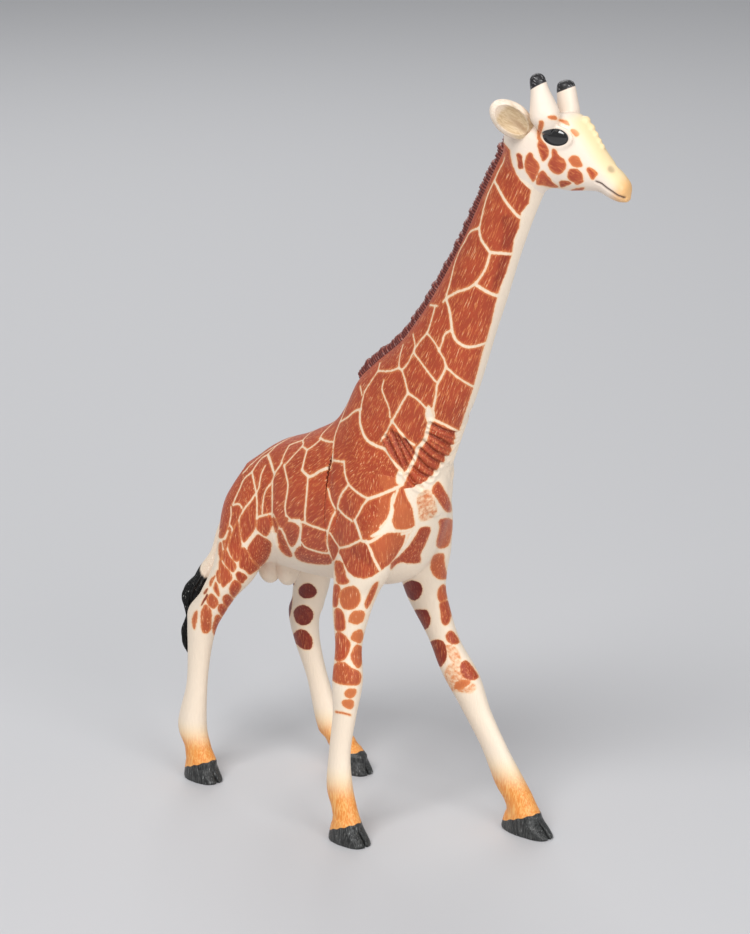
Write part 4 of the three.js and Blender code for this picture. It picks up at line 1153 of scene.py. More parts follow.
mane_paint, tree, shader, hair = new_paint("painted_mane", (-0.9, 0.0, 0.42))
# Painted highlight: the ridge tops are painted lighter than the maroon between them.
ridge_highlight = hair.outputs["Shade"]
ridge_highlight = figured(tree, "MULTIPLY_ADD", ridge_highlight, 1 - mane_least_highlight, mane_least_highlight)
ridge_highlight = figured(tree, "MULTIPLY", mask_of(tree, "ridge"), ridge_highlight)
feed(tree, shader, {
    "Base Color": mixed(tree, ridge_highlight, srgb(92, 26, 20), srgb(184, 100, 80)),
    "Roughness": 0.5,
    "Coat Weight": 0.1,
})
new_piece(
    "mane_comb", points, faces, mane_paint, "neck",
    {"ridge": (ease(ridge, *mane_highlight_from_to) * mane_highlight_strength).ravel()},
)

# Head
# One casting of soft plastic with its horns, the knobs of the forehead and the eyes, plugged onto
# the neck and turned a little to the animal's left. The face is pale with small brown patches.
head_length = 24.0
head_depth = 14.0
head_width = 9.2
head_yaw, head_pitch = np.radians((15, 27))
head_root_shares = (0.779, 0.976)
head_blend = 3.0
head_step = 0.18
lap_fade = 0.4
lap_depth = 1.5

head_root = neck_foot + (head_root_shares[0] * neck_reach, 0, head_root_shares[1] * neck_rise)
head_forward = np.array((
    np.cos(head_pitch) * np.cos(head_yaw),
    np.cos(head_pitch) * np.sin(head_yaw),
    -np.sin(head_pitch),
))
head_left = np.array((-np.sin(head_yaw), np.cos(head_yaw), 0.0))
head_up = np.cross(head_forward, head_left)

# Sections from the back of the skull to the lips, as shares of head length, depth, depth and width
head_shares = [
    (-0.14, 0.0, -0.16, 0.3),
    (-0.08, 0.12, -0.3, 0.66),
    (0.04, 0.29, -0.4, 0.88),
    (0.16, 0.44, -0.43, 0.96),
    (0.28, 0.6, -0.42, 1.0),
    (0.4, 0.615, -0.42, 0.96),
    (0.52, 0.52, -0.37, 0.84),
    (0.64, 0.41, -0.24, 0.7),
    (0.76, 0.325, -0.12, 0.62),
    (0.87, 0.265, -0.1, 0.58),
    (0.95, 0.2, -0.07, 0.46),
    (1.0, 0.05, -0.02, 0.18),
]
head_rows = smooth_rows(head_shares)

# Knobs along the middle of the forehead: place along, height and radius, as shares
knob_shares = [
    (0.4, 0.595, 0.1), (0.465, 0.555, 0.085), (0.52, 0.51, 0.07), (0.57, 0.465, 0.06), (0.615, 0.43, 0.05),
]
knob_blend = 0.5


def in_head(x, y, z):
    """Place along, out to the left and up, in the head's own frame."""
    arm = (x - head_root[0], y - head_root[1], z - head_root[2])
    return tuple(
        arm[0] * axis[0] + arm[1] * axis[1] + arm[2] * axis[2]
        for axis in (head_forward, head_left, head_up)
    )


def skull_skin(along, out, rise):
    """How far a point lies outside the skull and the knobs of the forehead."""
    top, bottom, breadth = columns_at(head_rows, along / head_length)
    middle = (top + bottom) / 2 * head_depth
    skin = oval(out, rise - middle, breadth * head_width / 2, (top - bottom) / 2 * head_depth)
    ends = np.maximum(head_rows[0, 0] * head_length - along, along - head_length)
    skin = past_end(skin, ends)
    for place, height, radius in knob_shares:
        knob = np.sqrt(
            (along - place * head_length) ** 2 + out**2 + (rise - height * head_depth) ** 2
        )
        skin = soft_min(skin, knob - radius * head_width, knob_blend)
    return skin


# Horns: skin-covered cones with round ends, as shares of their length and radius
horn_radius = 1.6
horn_spread = 8.4
horn_root_shares = (0.24, 0.285)
horns = [
    {"way": -1, "length": 11.2, "lean": 0.88},
    {"way": 1, "length": 8.5, "lean": 0.7},
]
horn_shares = [
    (0.0, 0.7, 0.7), (0.14, 1.35, 1.1), (0.3, 1.75, 1.32), (0.5, 1.47, 1.24), (0.7, 1.1, 1.16),
    (0.82, 0.98, 1.1), (0.92, 0.86, 0.96), (0.975, 0.56, 0.64), (1.0, 0.2, 0.2),
]
horn_rows = smooth_rows(horn_shares)
horn_blend = 1.0
horn_cap_share = 0.79
horn_cap_slope = 0.3


def horn_place(horn, along, out, rise):
    """Height along a horn, distance from its middle line and place ahead of it."""
    axis = np.array((-horn["lean"], 0.0, 1.0))
    axis /= np.linalg.norm(axis)
    arm = (
        along - horn_root_shares[0] * head_length,
        out - horn["way"] * horn_spread / 2,
        rise - horn_root_shares[1] * head_depth,
    )
    height = arm[0] * axis[0] + arm[2] * axis[2]
    ahead = arm[0] * axis[2] - arm[2] * axis[0]
    return height, np.hypot(ahead, arm[1]), ahead


def horn_skin(horn, along, out, rise):
    """How far a point lies outside a horn."""
    height, away, _ = horn_place(horn, along, out, rise)
    column = 2 if horn["way"] > 0 else 1
    radius = np.interp(height / horn["length"], horn_rows[:, 0], horn_rows[:, column]) * horn_radius
    return past_end(away - radius, np.maximum(-height, height - horn["length"]))


# Eyes: domes in a raised lid, as shares of the head's length, width and depth for their place
eye_place_shares = (0.31, 0.42, 0.305)
eye_half_length = 2.64
eye_half_height = 1.62
eye_bulge = 1.0
eye_tilt = np.radians(27)
lid_rim = 0.32
lid_blend = 0.7


def eye_oval(along, out, rise):
    """Place on the side of the head, as a share of the eye's outline, and place out from its middle."""
    ahead = along - eye_place_shares[0] * head_length
    above = rise - eye_place_shares[2] * head_depth
    length = ahead * np.cos(eye_tilt) + above * np.sin(eye_tilt)
    height = above * np.cos(eye_tilt) - ahead * np.sin(eye_tilt)
    proud = np.abs(out) - eye_place_shares[1] * head_width
    return length, height, proud


def eye_skin(along, out, rise):
    """How far a point lies outside the domes of the eyes."""
    length, height, proud = eye_oval(along, out, rise)
    share = (length / eye_half_length) ** 2 + (height / eye_half_height) ** 2 + (proud / eye_bulge) ** 2
    return (np.sqrt(share) - 1) * eye_bulge


def lid_skin(along, out, rise):
    """How far a point lies outside the rims round the eyes."""
    length, height, proud = eye_oval(along, out, rise)
    reach = np.hypot(length / (eye_half_length + lid_rim / 2), height / (eye_half_height + lid_rim / 2))
    return np.hypot((reach - 1) * eye_half_height, proud - lid_rim) - lid_rim


def face_skin(x, y, z):
    """The head with its horns, lids and eyes."""
    along, out, rise = in_head(x, y, z)
    skin = skull_skin(along, out, rise)
    for horn in horns:
        skin = soft_min(skin, horn_skin(horn, along, out, rise), horn_blend)
    skin = soft_min(skin, lid_skin(along, out, rise), lid_blend)
    return np.minimum(skin, eye_skin(along, out, rise))


def flanged(own, carrier, blend):
    """A piece with the fillet that fairs it into its carrier, feathered out under the carrier."""
    reach = own - carrier
    faded = blend - lap_fade
    return np.maximum.reduce([
        soft_min(own, carrier, blend) + seam_sink * ease(reach, faded - seam_lap, faded),
        reach - faded,
        -(carrier + lap_depth),
    ])


def head_skin(x, y, z):
    """The head, faired into the neck."""
    return flanged(face_skin(x, y, z), body_skin(x, y, z), head_blend)


face_relief = 0.04
cap_glint_from_to = (0.6, 0.68)
cap_glint = 0.7
cap_from_to = (-0.08, 0.1)
eye_from_to = (-0.03, 0.05)
face_roughness, eye_roughness = 0.46, 0.1
face_gloss, eye_gloss = 0.12, 0.97


def head_coat():
    """Painted soft plastic: pale face, black eyes and horn caps, brown patches."""
    material, tree, shader, hair = new_paint("painted_face", tuple(head_forward))
    shade, height = hair.outputs["Shade"], hair.outputs["Height"]
    paint = placed(tree, patch_group, {
        "Depth": mask_of(tree, "patch"), "Shade": shade, "Tone": mask_of(tree, "tone"),
        "Ground": srgb(240, 223, 206),
    })
    colour = mixed(tree, mask_of(tree, "nose"), paint.outputs["Color"], srgb(244, 216, 158))
    colour = mixed(tree, mask_of(tree, "lip"), colour, srgb(234, 176, 108))
    colour = mixed(tree, mask_of(tree, "mark"), colour, srgb(88, 62, 52))
    fine = figured(tree, "MULTIPLY", stepped(tree, height, *cap_glint_from_to), cap_glint)
    cap = mixed(tree, fine, mixed(tree, shade, srgb(14, 13, 14), srgb(50, 48, 50)), srgb(208, 206, 206))
    colour = mixed(tree, stepped(tree, mask_of(tree, "cap"), *cap_from_to), colour, cap)
    eye = stepped(tree, mask_of(tree, "eye"), *eye_from_to)
    haired = figured(tree, "MULTIPLY", height, figured(tree, "SUBTRACT", 1.0, eye))
    polish = figured(tree, "MULTIPLY_ADD", eye, eye_roughness - face_roughness, face_roughness)
    finish_paint(tree, shader, haired, face_relief, {
        "Base Color": mixed(tree, eye, colour, srgb(14, 13, 13)),
        "Roughness": polish,
        "Coat Weight": figured(tree, "MULTIPLY_ADD", eye, eye_gloss - face_gloss, face_gloss),
        "Coat Roughness": 0.08,
    })
    return material


def head_point(points):
    """Points with the head's left side laid over its right, in the head's own mirror."""
    along, out, rise = in_head(*points.T)
    out = -np.abs(out)
    return head_root + np.outer(along, head_forward) + np.outer(out, head_left) + np.outer(rise, head_up)


# Patches of the right side of the face, and the line of the mouth
face_patches_px = [
    (-0.5, [(540, 121), (543, 122), (543, 126), (541, 131), (540, 136),
            (541, 140), (538, 139), (538, 131), (539, 126)]),
    (0.0, [(540, 139), (544, 143), (548, 149), (548, 155), (546, 159),
           (543, 161), (541, 157), (539, 151), (538, 145)]),
    (0.0, [(553, 149), (556, 151), (559, 156), (564, 160), (566, 165), (564, 170),
           (559, 174), (553, 172), (549, 167), (549, 162), (552, 157), (552, 152)]),
    (-0.1, [(529, 153), (532, 154), (534, 159), (538, 163), (539, 168), (537, 174),
            (534, 181), (532, 180), (528, 174), (525, 167), (526, 158)]),
    (0.0, [(542, 171), (545, 173), (549, 178), (554, 184), (558, 187),
           (552, 187), (543, 185), (537, 184), (537, 179), (539, 174)]),
    (-0.5, [(569, 159), (573, 156), (578, 157), (581, 163), (582, 166), (578, 167), (573, 166), (570, 162)]),
    (0.1, [(569, 171), (572, 169), (578, 170), (582, 175), (582, 180), (577, 182), (571, 181), (568, 177)]),
    (0.2, [(560, 182), (565, 181), (571, 183), (565, 186), (561, 187)]),
    (0.1, [(575, 182), (581, 180), (583, 181), (579, 184), (576, 184)]),
    (0.0, [(587, 169), (590, 168), (597, 173), (594, 178), (592, 179), (589, 174)]),
    (0.4, [(517, 154), (521, 155), (522, 162), (523, 168), (519, 168), (518, 162)]),
    (0.2, [(571, 191), (576, 189), (584, 188), (580, 191), (573, 192)]),
    (-0.7, [(548, 117), (554, 116), (557, 119), (552, 119)]),
    (-0.7, [(559, 120), (566, 121), (569, 125), (564, 123)]),
    (-0.8, [(571, 130), (575, 130), (579, 134), (576, 136), (573, 133)]),
]
mouth_line_px = [(596, 182), (601, 184), (606, 188), (612, 192), (618, 196), (625, 198)]
mouth_groove_width = 0.22
mouth_groove_depth = 0.35
mouth_reach = 2.0
nostril_px = [(611.5, 169)]
nostril_radius = 0.75
nostril_depth = 0.25
nostril_darkness = 0.45
nape_coat_end = 7.0
nose_from_to = (6, 10)
nose_rise_from_to = (-2.8, -0.4)
lip_from_to = (20.4, 23.0)
muzzle_tint = 0.8
mouth_line = [(0.0, onto(head_skin, smooth_rows(mouth_line_px, 4)))]
nostril = onto(head_skin, nostril_px)[0]

head_margin = 2.0


def box_mm(node):
    """The lowest and highest corners of a node's box, in millimetres."""
    return [np.array(corner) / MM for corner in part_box(node)]


head_low, head_high = box_mm("head")
points, normals, faces = surface_of(head_skin, head_low - head_margin, head_high + head_margin, head_step)
along, out, rise = in_head(*points.T)
length, height, proud = eye_oval(along, out, rise)
eye_depth = (1 - np.hypot(length / eye_half_length, height / eye_half_height)) * eye_half_height
cap = np.full(len(points), -1.0)
for horn in horns:
    above, away, ahead = horn_place(horn, along, out, rise)
    cap_edge = horn["length"] * horn_cap_share + horn_cap_slope * ahead
    cap = np.maximum(cap, np.where(away < horn_radius * 2, above - cap_edge, -1))
profile = np.interp(along / head_length, head_rows[:, 0], head_rows[:, 1]) * head_depth
near_side = head_point(points)
near_side = np.where((facing(normals) > 0)[:, None], points, near_side)
face_patch, face_tone = patch_depths(to_photo(near_side), face_patches_px)
nape_patch, nape_tone = coat_depths(shown_point(points, normals), coat_lines)
nape_patch = np.minimum(nape_patch, nape_coat_end - along - 1e-3)
mouth_gap = near_lines(head_point(points), mouth_line, mouth_reach)
nostril_gap = np.linalg.norm(head_point(points) - nostril, axis=1)
groove = np.exp(-((mouth_gap / mouth_groove_width) ** 2))
dimple = np.exp(-((nostril_gap / nostril_radius) ** 2))
points = points - normals * (mouth_groove_depth * groove + nostril_depth * dimple)[:, None]
head_values = {
    "patch": np.maximum(face_patch, nape_patch),
    "tone": np.where(face_patch > nape_patch, face_tone, nape_tone),
    "eye": np.where(np.abs(out) > head_width / 4, np.minimum(eye_depth, 1), -1),
    "cap": cap,
    "nose": ease(along, *nose_from_to) * ease(rise - profile, *nose_rise_from_to) * muzzle_tint,
    "lip": ease(along, *lip_from_to) * muzzle_tint,
    "mark": np.maximum(groove, nostril_darkness * np.exp(-((nostril_gap / nostril_radius) ** 4))),
}
new_piece("head_casting", points, faces, head_coat(), "head", head_values)

# Ears
# Two thin leaves of soft plastic, hollowed on the side that listens and plugged into the back of
# the skull. They are pale outside and tan within.
ear_length = 10.8
ear_width = 6.2
ear_thickness = 3.2
ear_wall = 0.8
ear_root_shares = (0.09, 0.3, 0.07)
ear_tilt_shares = {1: (-0.45, 0.85, -0.1), -1: (-0.62, 0.7, 0.4)}
ear_facing_share = 0.45
ear_crease_width = 0.55
ear_crease_painted_shade = 0.65
hollow_length_share = 0.8
hollow_middle_share = 0.56
hollow_extra = 0.3
ear_narrowing = 0.12
ear_narrow_from = 0.55
ear_step = 0.18


def ear_frame(way):
    """The root of an ear, and its directions across, out of its hollow and along."""
    ahead, out, up = ear_tilt_shares[way]
    axis = head_forward * ahead + head_left * way * out + head_up * up
    axis /= np.linalg.norm(axis)
    front = head_forward + head_left * way * ear_facing_share
    front -= axis * (front @ axis)
    front /= np.linalg.norm(front)
    root = (
        head_root
        + head_forward * ear_root_shares[0] * head_length
        + head_left * way * ear_root_shares[1] * head_width
        + head_up * ear_root_shares[2] * head_depth
    )
    return root, np.cross(front, axis), front, axis


def in_ear(way, x, y, z):
    """Place across an ear, out of its hollow and along it."""
    root, across, front, axis = ear_frame(way)
    return tuple(
        (x - root[0]) * line[0] + (y - root[1]) * line[1] + (z - root[2]) * line[2]
        for line in (across, front, axis)
    )


def ear_skin(way, x, y, z):
    """How far a point lies outside an ear's leaf, or inside its hollow."""
    across, front, along = in_ear(way, x, y, z)
    narrow = 1 - ear_narrowing * np.clip(along / ear_length - ear_narrow_from, 0, 1)
    leaf = np.sqrt(
        (across / narrow / (ear_width / 2)) ** 2
        + (front / (ear_thickness / 2)) ** 2
        + ((along - ear_length / 2) / (ear_length / 2)) ** 2
    )
    hollow = np.sqrt(
        (across / narrow / (ear_width / 2 - ear_wall)) ** 2
        + ((front - ear_wall * 2) / (ear_thickness / 2 + hollow_extra)) ** 2
        + ((along - ear_length * hollow_middle_share) / (ear_length * hollow_length_share / 2)) ** 2
    )
    return np.maximum((leaf - 1) * ear_thickness / 2, (1 - hollow) * ear_thickness / 2)


ear_relief = 0.05


def ear_coat():
    """Painted soft plastic: pale outside, tan in the hollow and darker down its crease as painted shade."""
    material, tree, shader, hair = new_paint("painted_ear", (-0.3, -0.8, 0.5))
    shade = hair.outputs["Shade"]
    pale = mixed(tree, shade, srgb(242, 226, 208), srgb(234, 213, 190))
    tan = mixed(tree, shade, srgb(220, 197, 161), srgb(200, 172, 134))
    colour = mixed(tree, mask_of(tree, "within"), pale, tan)
    finish_paint(tree, shader, hair.outputs["Height"], ear_relief, {
        # The crease down the hollow is darkened with painted shade.
        "Base Color": mixed(tree, mask_of(tree, "crease"), colour, srgb(150, 112, 78)),
        "Roughness": 0.48,
        "Coat Weight": 0.1,
    })
    return material


inner_facing = (0.1, 0.6)
inner_rim = (-0.85, -0.55)
inner_tip = (-9.2, -7.5)
crease_tip = (-8, -3)
ear_paint = ear_coat()
for side, way in (("left", 1), ("right", -1)):
    node = "ear_" + side
    low, high = box_mm(node)
    points, normals, faces = surface_of(
        lambda x, y, z, way=way: ear_skin(way, x, y, z), low - head_margin, high + head_margin, ear_step
    )
    across, front, along = in_ear(way, *points.T)
    rim = np.abs(across) / (ear_width / 2)
    within = ease(normals @ ear_frame(way)[2], *inner_facing)
    within = within * ease(-rim, *inner_rim) * ease(-along, *inner_tip)
    # Painted shade along the crease of the hollow.
    crease = within * np.exp(-((across / ear_crease_width) ** 2)) * ease(-along, *crease_tip)
    new_piece(
        node + "_casting", points, faces, ear_paint, node,
        {"within": within, "crease": crease * ear_crease_painted_shade},
    )

# Legs
# Four castings of soft plastic caught in mid stride, plugged into the trunk at shoulder and hip,
# each with its cloven hoof. Patches break up down the leg to orange pasterns and charcoal hooves.
shoulder_height = belly_height + 26.5
hip_height = belly_height + 20.5
shoulder_x = seam_x + 13.0
hip_x = rump_x + 11.5
stance_width = 29.2
leg_root_out = trunk_width / 4
foreleg_depth = 14.0
foreleg_width = 8.0
hindleg_depth = 15.0
hindleg_width = 9.2
lead_leg_bulk = 1.14
hoof_width = 5.8
hoof_length = {"foreleg_right": 9.4, "foreleg_left": 12.2, "hindleg_right": 8.8, "hindleg_left": 10.3}
hoof_height = 4.0
leg_blend = 3.4
leg_step = 0.22

# Leg thickness from the top of the limb to the hoof, as shares of the leg's depth, depth and width
foreleg_girth_shares = [
    (0.2, 0.32, 0.45), (0.27, 0.55, 0.85), (0.29, 0.57, 1.0), (0.3, 0.42, 0.96), (0.3, 0.31, 0.78),
    (0.21, 0.21, 0.6), (0.255, 0.215, 0.7), (0.18, 0.205, 0.5), (0.165, 0.195, 0.44), (0.185, 0.24, 0.55),
    (0.185, 0.215, 0.56), (0.195, 0.225, 0.62),
]
hindleg_right_girth_shares = [
    (0.3, 0.3, 0.43), (0.46, 0.45, 0.8), (0.5, 0.38, 0.96), (0.39, 0.27, 0.9), (0.28, 0.22, 0.75),
    (0.24, 0.32, 0.65), (0.2, 0.25, 0.58), (0.175, 0.19, 0.46), (0.17, 0.165, 0.41), (0.205, 0.27, 0.54),
    (0.205, 0.185, 0.54), (0.205, 0.23, 0.58),
]
hindleg_left_girth_shares = [
    (0.3, 0.3, 0.43), (0.46, 0.45, 0.8), (0.5, 0.39, 0.96), (0.39, 0.34, 0.9), (0.29, 0.29, 0.74),
    (0.23, 0.26, 0.64), (0.215, 0.27, 0.6), (0.19, 0.22, 0.5), (0.17, 0.165, 0.42), (0.195, 0.22, 0.52),
    (0.18, 0.2, 0.52), (0.19, 0.22, 0.56),
]

# The line of each leg: height and step ahead as shares of the leg's height, way out to the stance
leg_line_shares = {
    "foreleg_right": [
        (1.0, 0.0, 0.0), (0.89, 0.005, 0.28), (0.785, -0.015, 0.37), (0.705, -0.055, 0.45),
        (0.635, -0.07, 0.58), (0.54, -0.071, 0.66), (0.445, -0.068, 0.74), (0.35, -0.065, 0.82),
        (0.245, -0.072, 0.91), (0.15, -0.063, 0.97), (0.095, -0.045, 0.99), (0.054, -0.03, 1.0),
    ],
    "foreleg_left": [
        (1.0, -0.02, 0.0), (0.89, -0.012, 0.22), (0.785, -0.03, 0.3), (0.695, -0.058, 0.38),
        (0.62, -0.062, 0.46), (0.505, -0.018, 0.63), (0.41, 0.033, 0.73), (0.315, 0.091, 0.81),
        (0.222, 0.154, 0.87), (0.128, 0.212, 0.95), (0.088, 0.238, 0.98), (0.054, 0.257, 1.0),
    ],
    "hindleg_right": [
        (1.0, 0.05, -0.1), (0.91, 0.035, 0.08), (0.81, 0.0, 0.2), (0.69, -0.03, 0.36),
        (0.605, -0.074, 0.53), (0.54, -0.103, 0.64), (0.485, -0.121, 0.7), (0.4, -0.134, 0.73),
        (0.295, -0.143, 0.77), (0.165, -0.151, 0.83), (0.1, -0.133, 0.84), (0.059, -0.111, 0.85),
    ],
    "hindleg_left": [
        (1.0, 0.05, -0.1), (0.91, 0.035, 0.08), (0.81, 0.02, 0.2), (0.69, 0.028, 0.33),
        (0.605, 0.03, 0.43), (0.53, 0.008, 0.5), (0.465, -0.018, 0.56), (0.385, -0.012, 0.6),
        (0.272, 0.02, 0.67), (0.135, 0.07, 0.73), (0.088, 0.112, 0.77), (0.055, 0.15, 0.79),
    ],
}

# Hoof sections from the coronet to the sole: height, heel, toe and breadth, as shares
hoof_shares = [
    (1.12, 0.33, 0.15, 0.76), (0.86, 0.39, 0.26, 0.87), (0.5, 0.43, 0.42, 0.96),
    (0.14, 0.46, 0.54, 1.0), (0.0, 0.44, 0.53, 0.97),
]
hoof_power = 2.8
hoof_blend = 0.8
cleft_middle_share = 0.55
cleft_reach_share = 0.32
cleft_half_width = 0.28
pastern_top = {"fore": 16.5, "hind": 13.5}
pastern_full = {"fore": 8.5, "hind": 6.5}
coronet_height = 3.5
coronet_slope = 0.4
coronet_notches = 9
coronet_notch_depth = 0.1


def leg_line(name, height, root_x, depth, width, way, girth_shares, bulk):
    """Middle, thickness and lean of a leg at each height, from the sole up."""
    rows = smooth_rows([line + girth for line, girth in zip(leg_line_shares[name], girth_shares)])
    bulk_here = 1 + (bulk - 1) * np.minimum(1, 2 * np.linspace(0, 1, len(rows)))
    z = rows[:, 0] * height
    x = root_x + rows[:, 1] * height
    y = way * (leg_root_out + (stance_width / 2 - leg_root_out) * rows[:, 2])
    lean_x, lean_y = np.gradient(x, z), np.gradient(y, z)
    ahead, behind = (rows[:, column] * depth * bulk_here * np.hypot(1, lean_x) for column in (3, 4))
    breadth = rows[:, 5] * width / 2 * bulk_here * np.hypot(1, lean_y)
    lean = np.sqrt(1 + lean_x**2 + lean_y**2)
    return np.stack((z, x, y, ahead, behind, breadth, lean))[:, ::-1]


foreleg = (shoulder_height, shoulder_x, foreleg_depth, foreleg_width)
hindleg = (hip_height, hip_x, hindleg_depth, hindleg_width)
leg_lines = {
    name: leg_line(name, *sizes, *side)
    for name, sizes, side in (
        ("foreleg_right", foreleg, (-1, foreleg_girth_shares, 1)),
        ("foreleg_left", foreleg, (1, foreleg_girth_shares, lead_leg_bulk)),
        ("hindleg_right", hindleg, (-1, hindleg_right_girth_shares, 1)),
        ("hindleg_left", hindleg, (1, hindleg_left_girth_shares, 1)),
    )
}
hoof_rows = smooth_rows(hoof_shares)[::-1]


def leg_at(name, z):
    """Middle, thickness and lean of a leg at some heights."""
    line = leg_lines[name]
    return [np.interp(z, line[0], column) for column in line[1:]]


def limb_skin(name, x, y, z):
    """How far a point lies outside a leg above its hoof."""
    middle_x, middle_y, ahead, behind, breadth, lean = leg_at(name, z)
    step = x - middle_x
    skin = oval(y - middle_y, step, breadth, np.where(step > 0, ahead, behind)) / lean
    return past_end(skin, z - leg_lines[name][0, -1])


def hoof_skin(name, x, y, z):
    """How far a point lies outside a hoof, or inside its cleft."""
    ankle_x, ankle_y = leg_lines[name][1:3, 0]
    length = hoof_length[name]
    heel, toe, breadth = columns_at(hoof_rows, z / hoof_height)
    step = x - ankle_x
    skin = oval(
        y - ankle_y, step, breadth * hoof_width / 2, np.where(step > 0, toe, heel) * length, hoof_power
    )
    cleft = oval(
        y - ankle_y, step - cleft_middle_share * length, cleft_half_width, cleft_reach_share * length
    )
    skin = np.maximum(skin, z - hoof_rows[-1, 0] * hoof_height)
    return np.maximum(skin, -cleft)


def leg_skin(name, x, y, z):
    """A leg and its hoof, flat on the ground."""
    own = soft_min(limb_skin(name, x, y, z), hoof_skin(name, x, y, z), hoof_blend)
    return np.maximum(own, -z)


def leg_casting_skin(name, x, y, z):
    """A leg, faired into the body."""
    return flanged(leg_skin(name, x, y, z), body_skin(x, y, z), leg_blend)


mirror_from, mirror_to = 50, 60
figure_lines = routes_on(
    lambda x, y, z: np.minimum.reduce([
        body_skin(x, y, z),
        leg_casting_skin("foreleg_right", x, y, z),
        leg_casting_skin("hindleg_right", x, y, z),
    ]),
    coat_lines_px,
)


def leg_shown(name, points, normals):
    """Points of a leg laid on the side of its pair that the camera sees."""
    unseen = (facing(normals) < 0) & (normals[:, 1] > 0)
    own = np.stack(leg_at(name, points[:, 2])[:2], 1)
    end, side = name.split("_")
    pair = end + ("_left" if side == "right" else "_right")
    other = np.stack(leg_at(pair, points[:, 2])[:2], 1)
    over = np.column_stack((other + (points[:, :2] - own) * (1, -1), points[:, 2]))
    near_trunk = ease(points[:, 2], mirror_from, mirror_to)[:, None]
    over = over + (mirrored(points) - over) * near_trunk
    base = np.where(unseen[:, None], over, points)
    turned = np.where(unseen[:, None], mirrored(normals), normals)
    behind = facing(turned) < 0
    middle = np.where(unseen[:, None], other, own)
    flipped = base.copy()
    flipped[:, 0] = 2 * middle[:, 0] - base[:, 0]
    keep = near_trunk[:, 0] < 0.5
    return np.where((behind & keep)[:, None], flipped, base)


leg_coat = coat_material("painted_coat_legs", (0.0, 0.0, 1.0))
leg_margin = 3.0
for name, line in leg_lines.items():
    low, high = box_mm(name)
    low = np.minimum(low, ((line[1] - line[4]).min(), (line[2] - line[5]).min(), 0)) - leg_margin
    high = np.maximum(high, ((line[1] + line[3]).max(), (line[2] + line[5]).max(), line[0, -1]))
    high = high + leg_margin
    points, normals, faces = surface_of(
        lambda x, y, z, name=name: leg_casting_skin(name, x, y, z), low, high, leg_step
    )
    patch, tone = coat_depths(leg_shown(name, points, normals), figure_lines)
    ankle_x, ankle_y = line[1:3, 0]
    round_ankle = np.arctan2(points[:, 1] - ankle_y, points[:, 0] - ankle_x)
    values = {
        "patch": patch,
        "tone": tone,
        "pastern": ease(-points[:, 2], -pastern_top[name[:4]], -pastern_full[name[:4]]),
        "hoof": (
            coronet_height + coronet_slope * (points[:, 0] - ankle_x) - points[:, 2]
            + coronet_notch_depth * np.cos(coronet_notches * round_ankle)
        ),
    }
    new_piece(name + "_casting", points, faces, leg_coat, name, values)

# Tail
# One casting of soft plastic, plugged into the rump: a thin pale stalk that swings to the right
# and ends in a tuft of black moulded hair.
tail_drop = 34.0
tail_swing = 9.5
tuft_radius = 2.2
tail_root_ahead_share = 0.8
tail_root_rise_share = 0.3
tail_root = np.array((
    rump_x + tail_root_ahead_share * tuft_radius, 0.0, belly_height + tail_root_rise_share * trunk_depth,
))

# The tail's line from root to tip: fall, behind, out to the right and radius, as shares
tail_shares = [
    (-0.06, -0.3, 0.0, 0.5), (0.08, 0.12, 0.06, 0.62), (0.22, 0.3, 0.2, 0.6), (0.36, 0.33, 0.4, 0.56),
    (0.48, 0.37, 0.66, 1.0), (0.6, 0.5, 0.88, 1.26), (0.72, 0.48, 0.93, 1.03), (0.84, 0.53, 0.98, 1.02),
    (0.94, 0.54, 1.0, 0.8), (1.0, 0.52, 1.0, 0.35),
]
tail_rows = smooth_rows(tail_shares)
tail_line = np.stack((
    tail_root[2] - tail_rows[:, 0] * tail_drop,
    tail_root[0] - tail_rows[:, 1] * tail_swing,
    tail_root[1] - tail_rows[:, 2] * tail_swing,
    tail_rows[:, 3] * tuft_radius,
))[:, ::-1]
tail_step = 0.15
strand_count = 15
strand_twist = 0.6
strand_depth = 0.16
lock_count = 3
lock_twist = 0.8
lock_phase = 2.4
lock_depth = 0.4
lock_fall_from_to = (0.42, 0.56)
tuft_shrink = 1.05
cuff_fall = 0.455
cuff_slope = 0.02
cuff_fade = 0.008


def tail_skin(x, y, z):
    """How far a point lies outside the tail."""
    middle_x, middle_y, radius = (np.interp(z, tail_line[0], column) for column in tail_line[1:])
    lean = np.hypot(
        1, np.interp(z, tail_line[0], np.hypot(*np.gradient(tail_line[1:3], tail_line[0], axis=1)))
    )
    turn = np.arctan2(y - middle_y, x - middle_x)
    fall = (tail_root[2] - z) / tail_drop
    tufted = ease(fall, *lock_fall_from_to)
    strands = np.cos(strand_count * turn + strand_twist * z) * strand_depth
    locks = np.cos(lock_count * turn + lock_twist * z + lock_phase) * lock_depth
    radius = radius + tufted * (strands + locks - (strand_depth + lock_depth) * tuft_shrink)
    skin = np.hypot(x - middle_x, y - middle_y) / lean - radius
    return past_end(skin, np.maximum(tail_line[0, 0] - z, z - tail_line[0, -1]))


tail_relief = 0.15
tuft_glint_from_to = (0.64, 0.7)
tuft_glint = 0.7


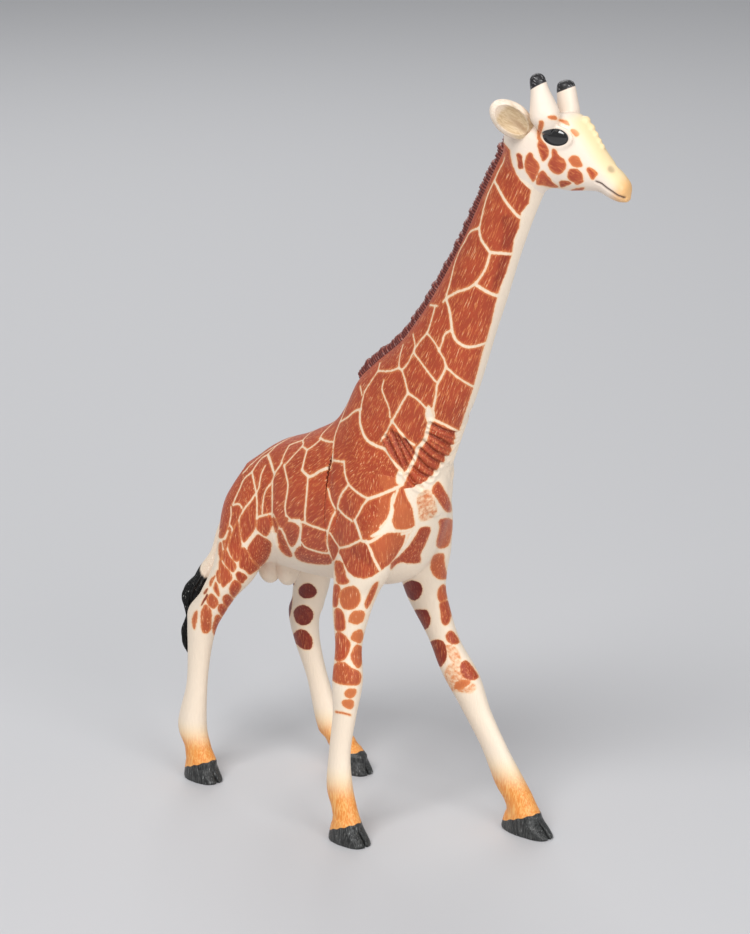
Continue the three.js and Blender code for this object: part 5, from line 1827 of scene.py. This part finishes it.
def tail_coat():
    """Painted soft plastic: a pale stalk and black moulded hair."""
    material, tree, shader, hair = new_paint("painted_tail", (0.1, -0.2, 0.97))
    shade, height = hair.outputs["Shade"], hair.outputs["Height"]
    pale = mixed(tree, shade, srgb(244, 227, 206), srgb(238, 217, 192))
    black = mixed(tree, shade, srgb(3, 3, 3), srgb(26, 25, 24))
    fine = figured(tree, "MULTIPLY", stepped(tree, height, *tuft_glint_from_to), tuft_glint)
    black = mixed(tree, fine, black, srgb(190, 188, 184))
    finish_paint(tree, shader, height, tail_relief, {
        "Base Color": mixed(tree, mask_of(tree, "tuft"), pale, black),
        "Roughness": 0.38,
        "Specular IOR Level": 0.2,
        "Coat Weight": 0.06,
    })
    return material


tail_margin = tuft_radius * 1.6
low, high = tail_line[[1, 2, 0]].min(1) - tail_margin, tail_line[[1, 2, 0]].max(1) + tail_margin
points, normals, faces = surface_of(tail_skin, low, high, tail_step)
cuff = cuff_fall + cuff_slope * (points[:, 0] - np.interp(points[:, 2], tail_line[0], tail_line[1]))
fall = (tail_root[2] - points[:, 2]) / tail_drop
new_piece(
    "tail_casting", points, faces, tail_coat(), "tail",
    {"tuft": ease(fall - cuff, -cuff_fade, cuff_fade)},
)

# Floor and lights
# A pale seamless floor, which isn't part of the figure, under one large soft lamp from the front
# and two small ones from the side and the back.
floor_size = 4.0
bpy.ops.mesh.primitive_plane_add(size=floor_size)
floor = bpy.context.object
floor.name = "floor"
floor_paint = bpy.data.materials.new("floor_paint")
floor_paint.use_nodes = True
tree = floor_paint.node_tree
feed(tree, tree.nodes["Principled BSDF"], {"Base Color": srgb(200, 200, 202), "Roughness": 0.7})
floor.data.materials.append(floor_paint)

world = bpy.data.worlds.new("world")
bpy.context.scene.world = world
world.use_nodes = True
tree = world.node_tree
feed(tree, tree.nodes["Background"], {"Color": srgb(215, 217, 220), "Strength": 0.5})


def soft_lamp(name, place, aim, size, power):
    """A square lamp that faces the figure."""
    data = bpy.data.lights.new(name, "AREA")
    data.size = size
    data.energy = power
    lamp = bpy.data.objects.new(name, data)
    bpy.context.scene.collection.objects.link(lamp)
    back = np.array(place, float) - aim
    back /= np.linalg.norm(back)
    right = np.cross((0, 0, 1), back)
    right /= np.linalg.norm(right)
    lamp.matrix_world = (
        Matrix.Translation(place) @ Matrix(np.column_stack((right, np.cross(back, right), back))).to_4x4()
    )


figure_middle = (0.0, 0.0, 0.08)
soft_lamp("key_lamp", (0.225, -0.825, 1.085), figure_middle, 0.6, 11.2)
soft_lamp("fill_lamp", (0.9, -0.2, 0.4), figure_middle, 0.5, 4.2)
soft_lamp("rim_lamp", (-0.6, 0.4, 0.6), figure_middle, 0.5, 2)
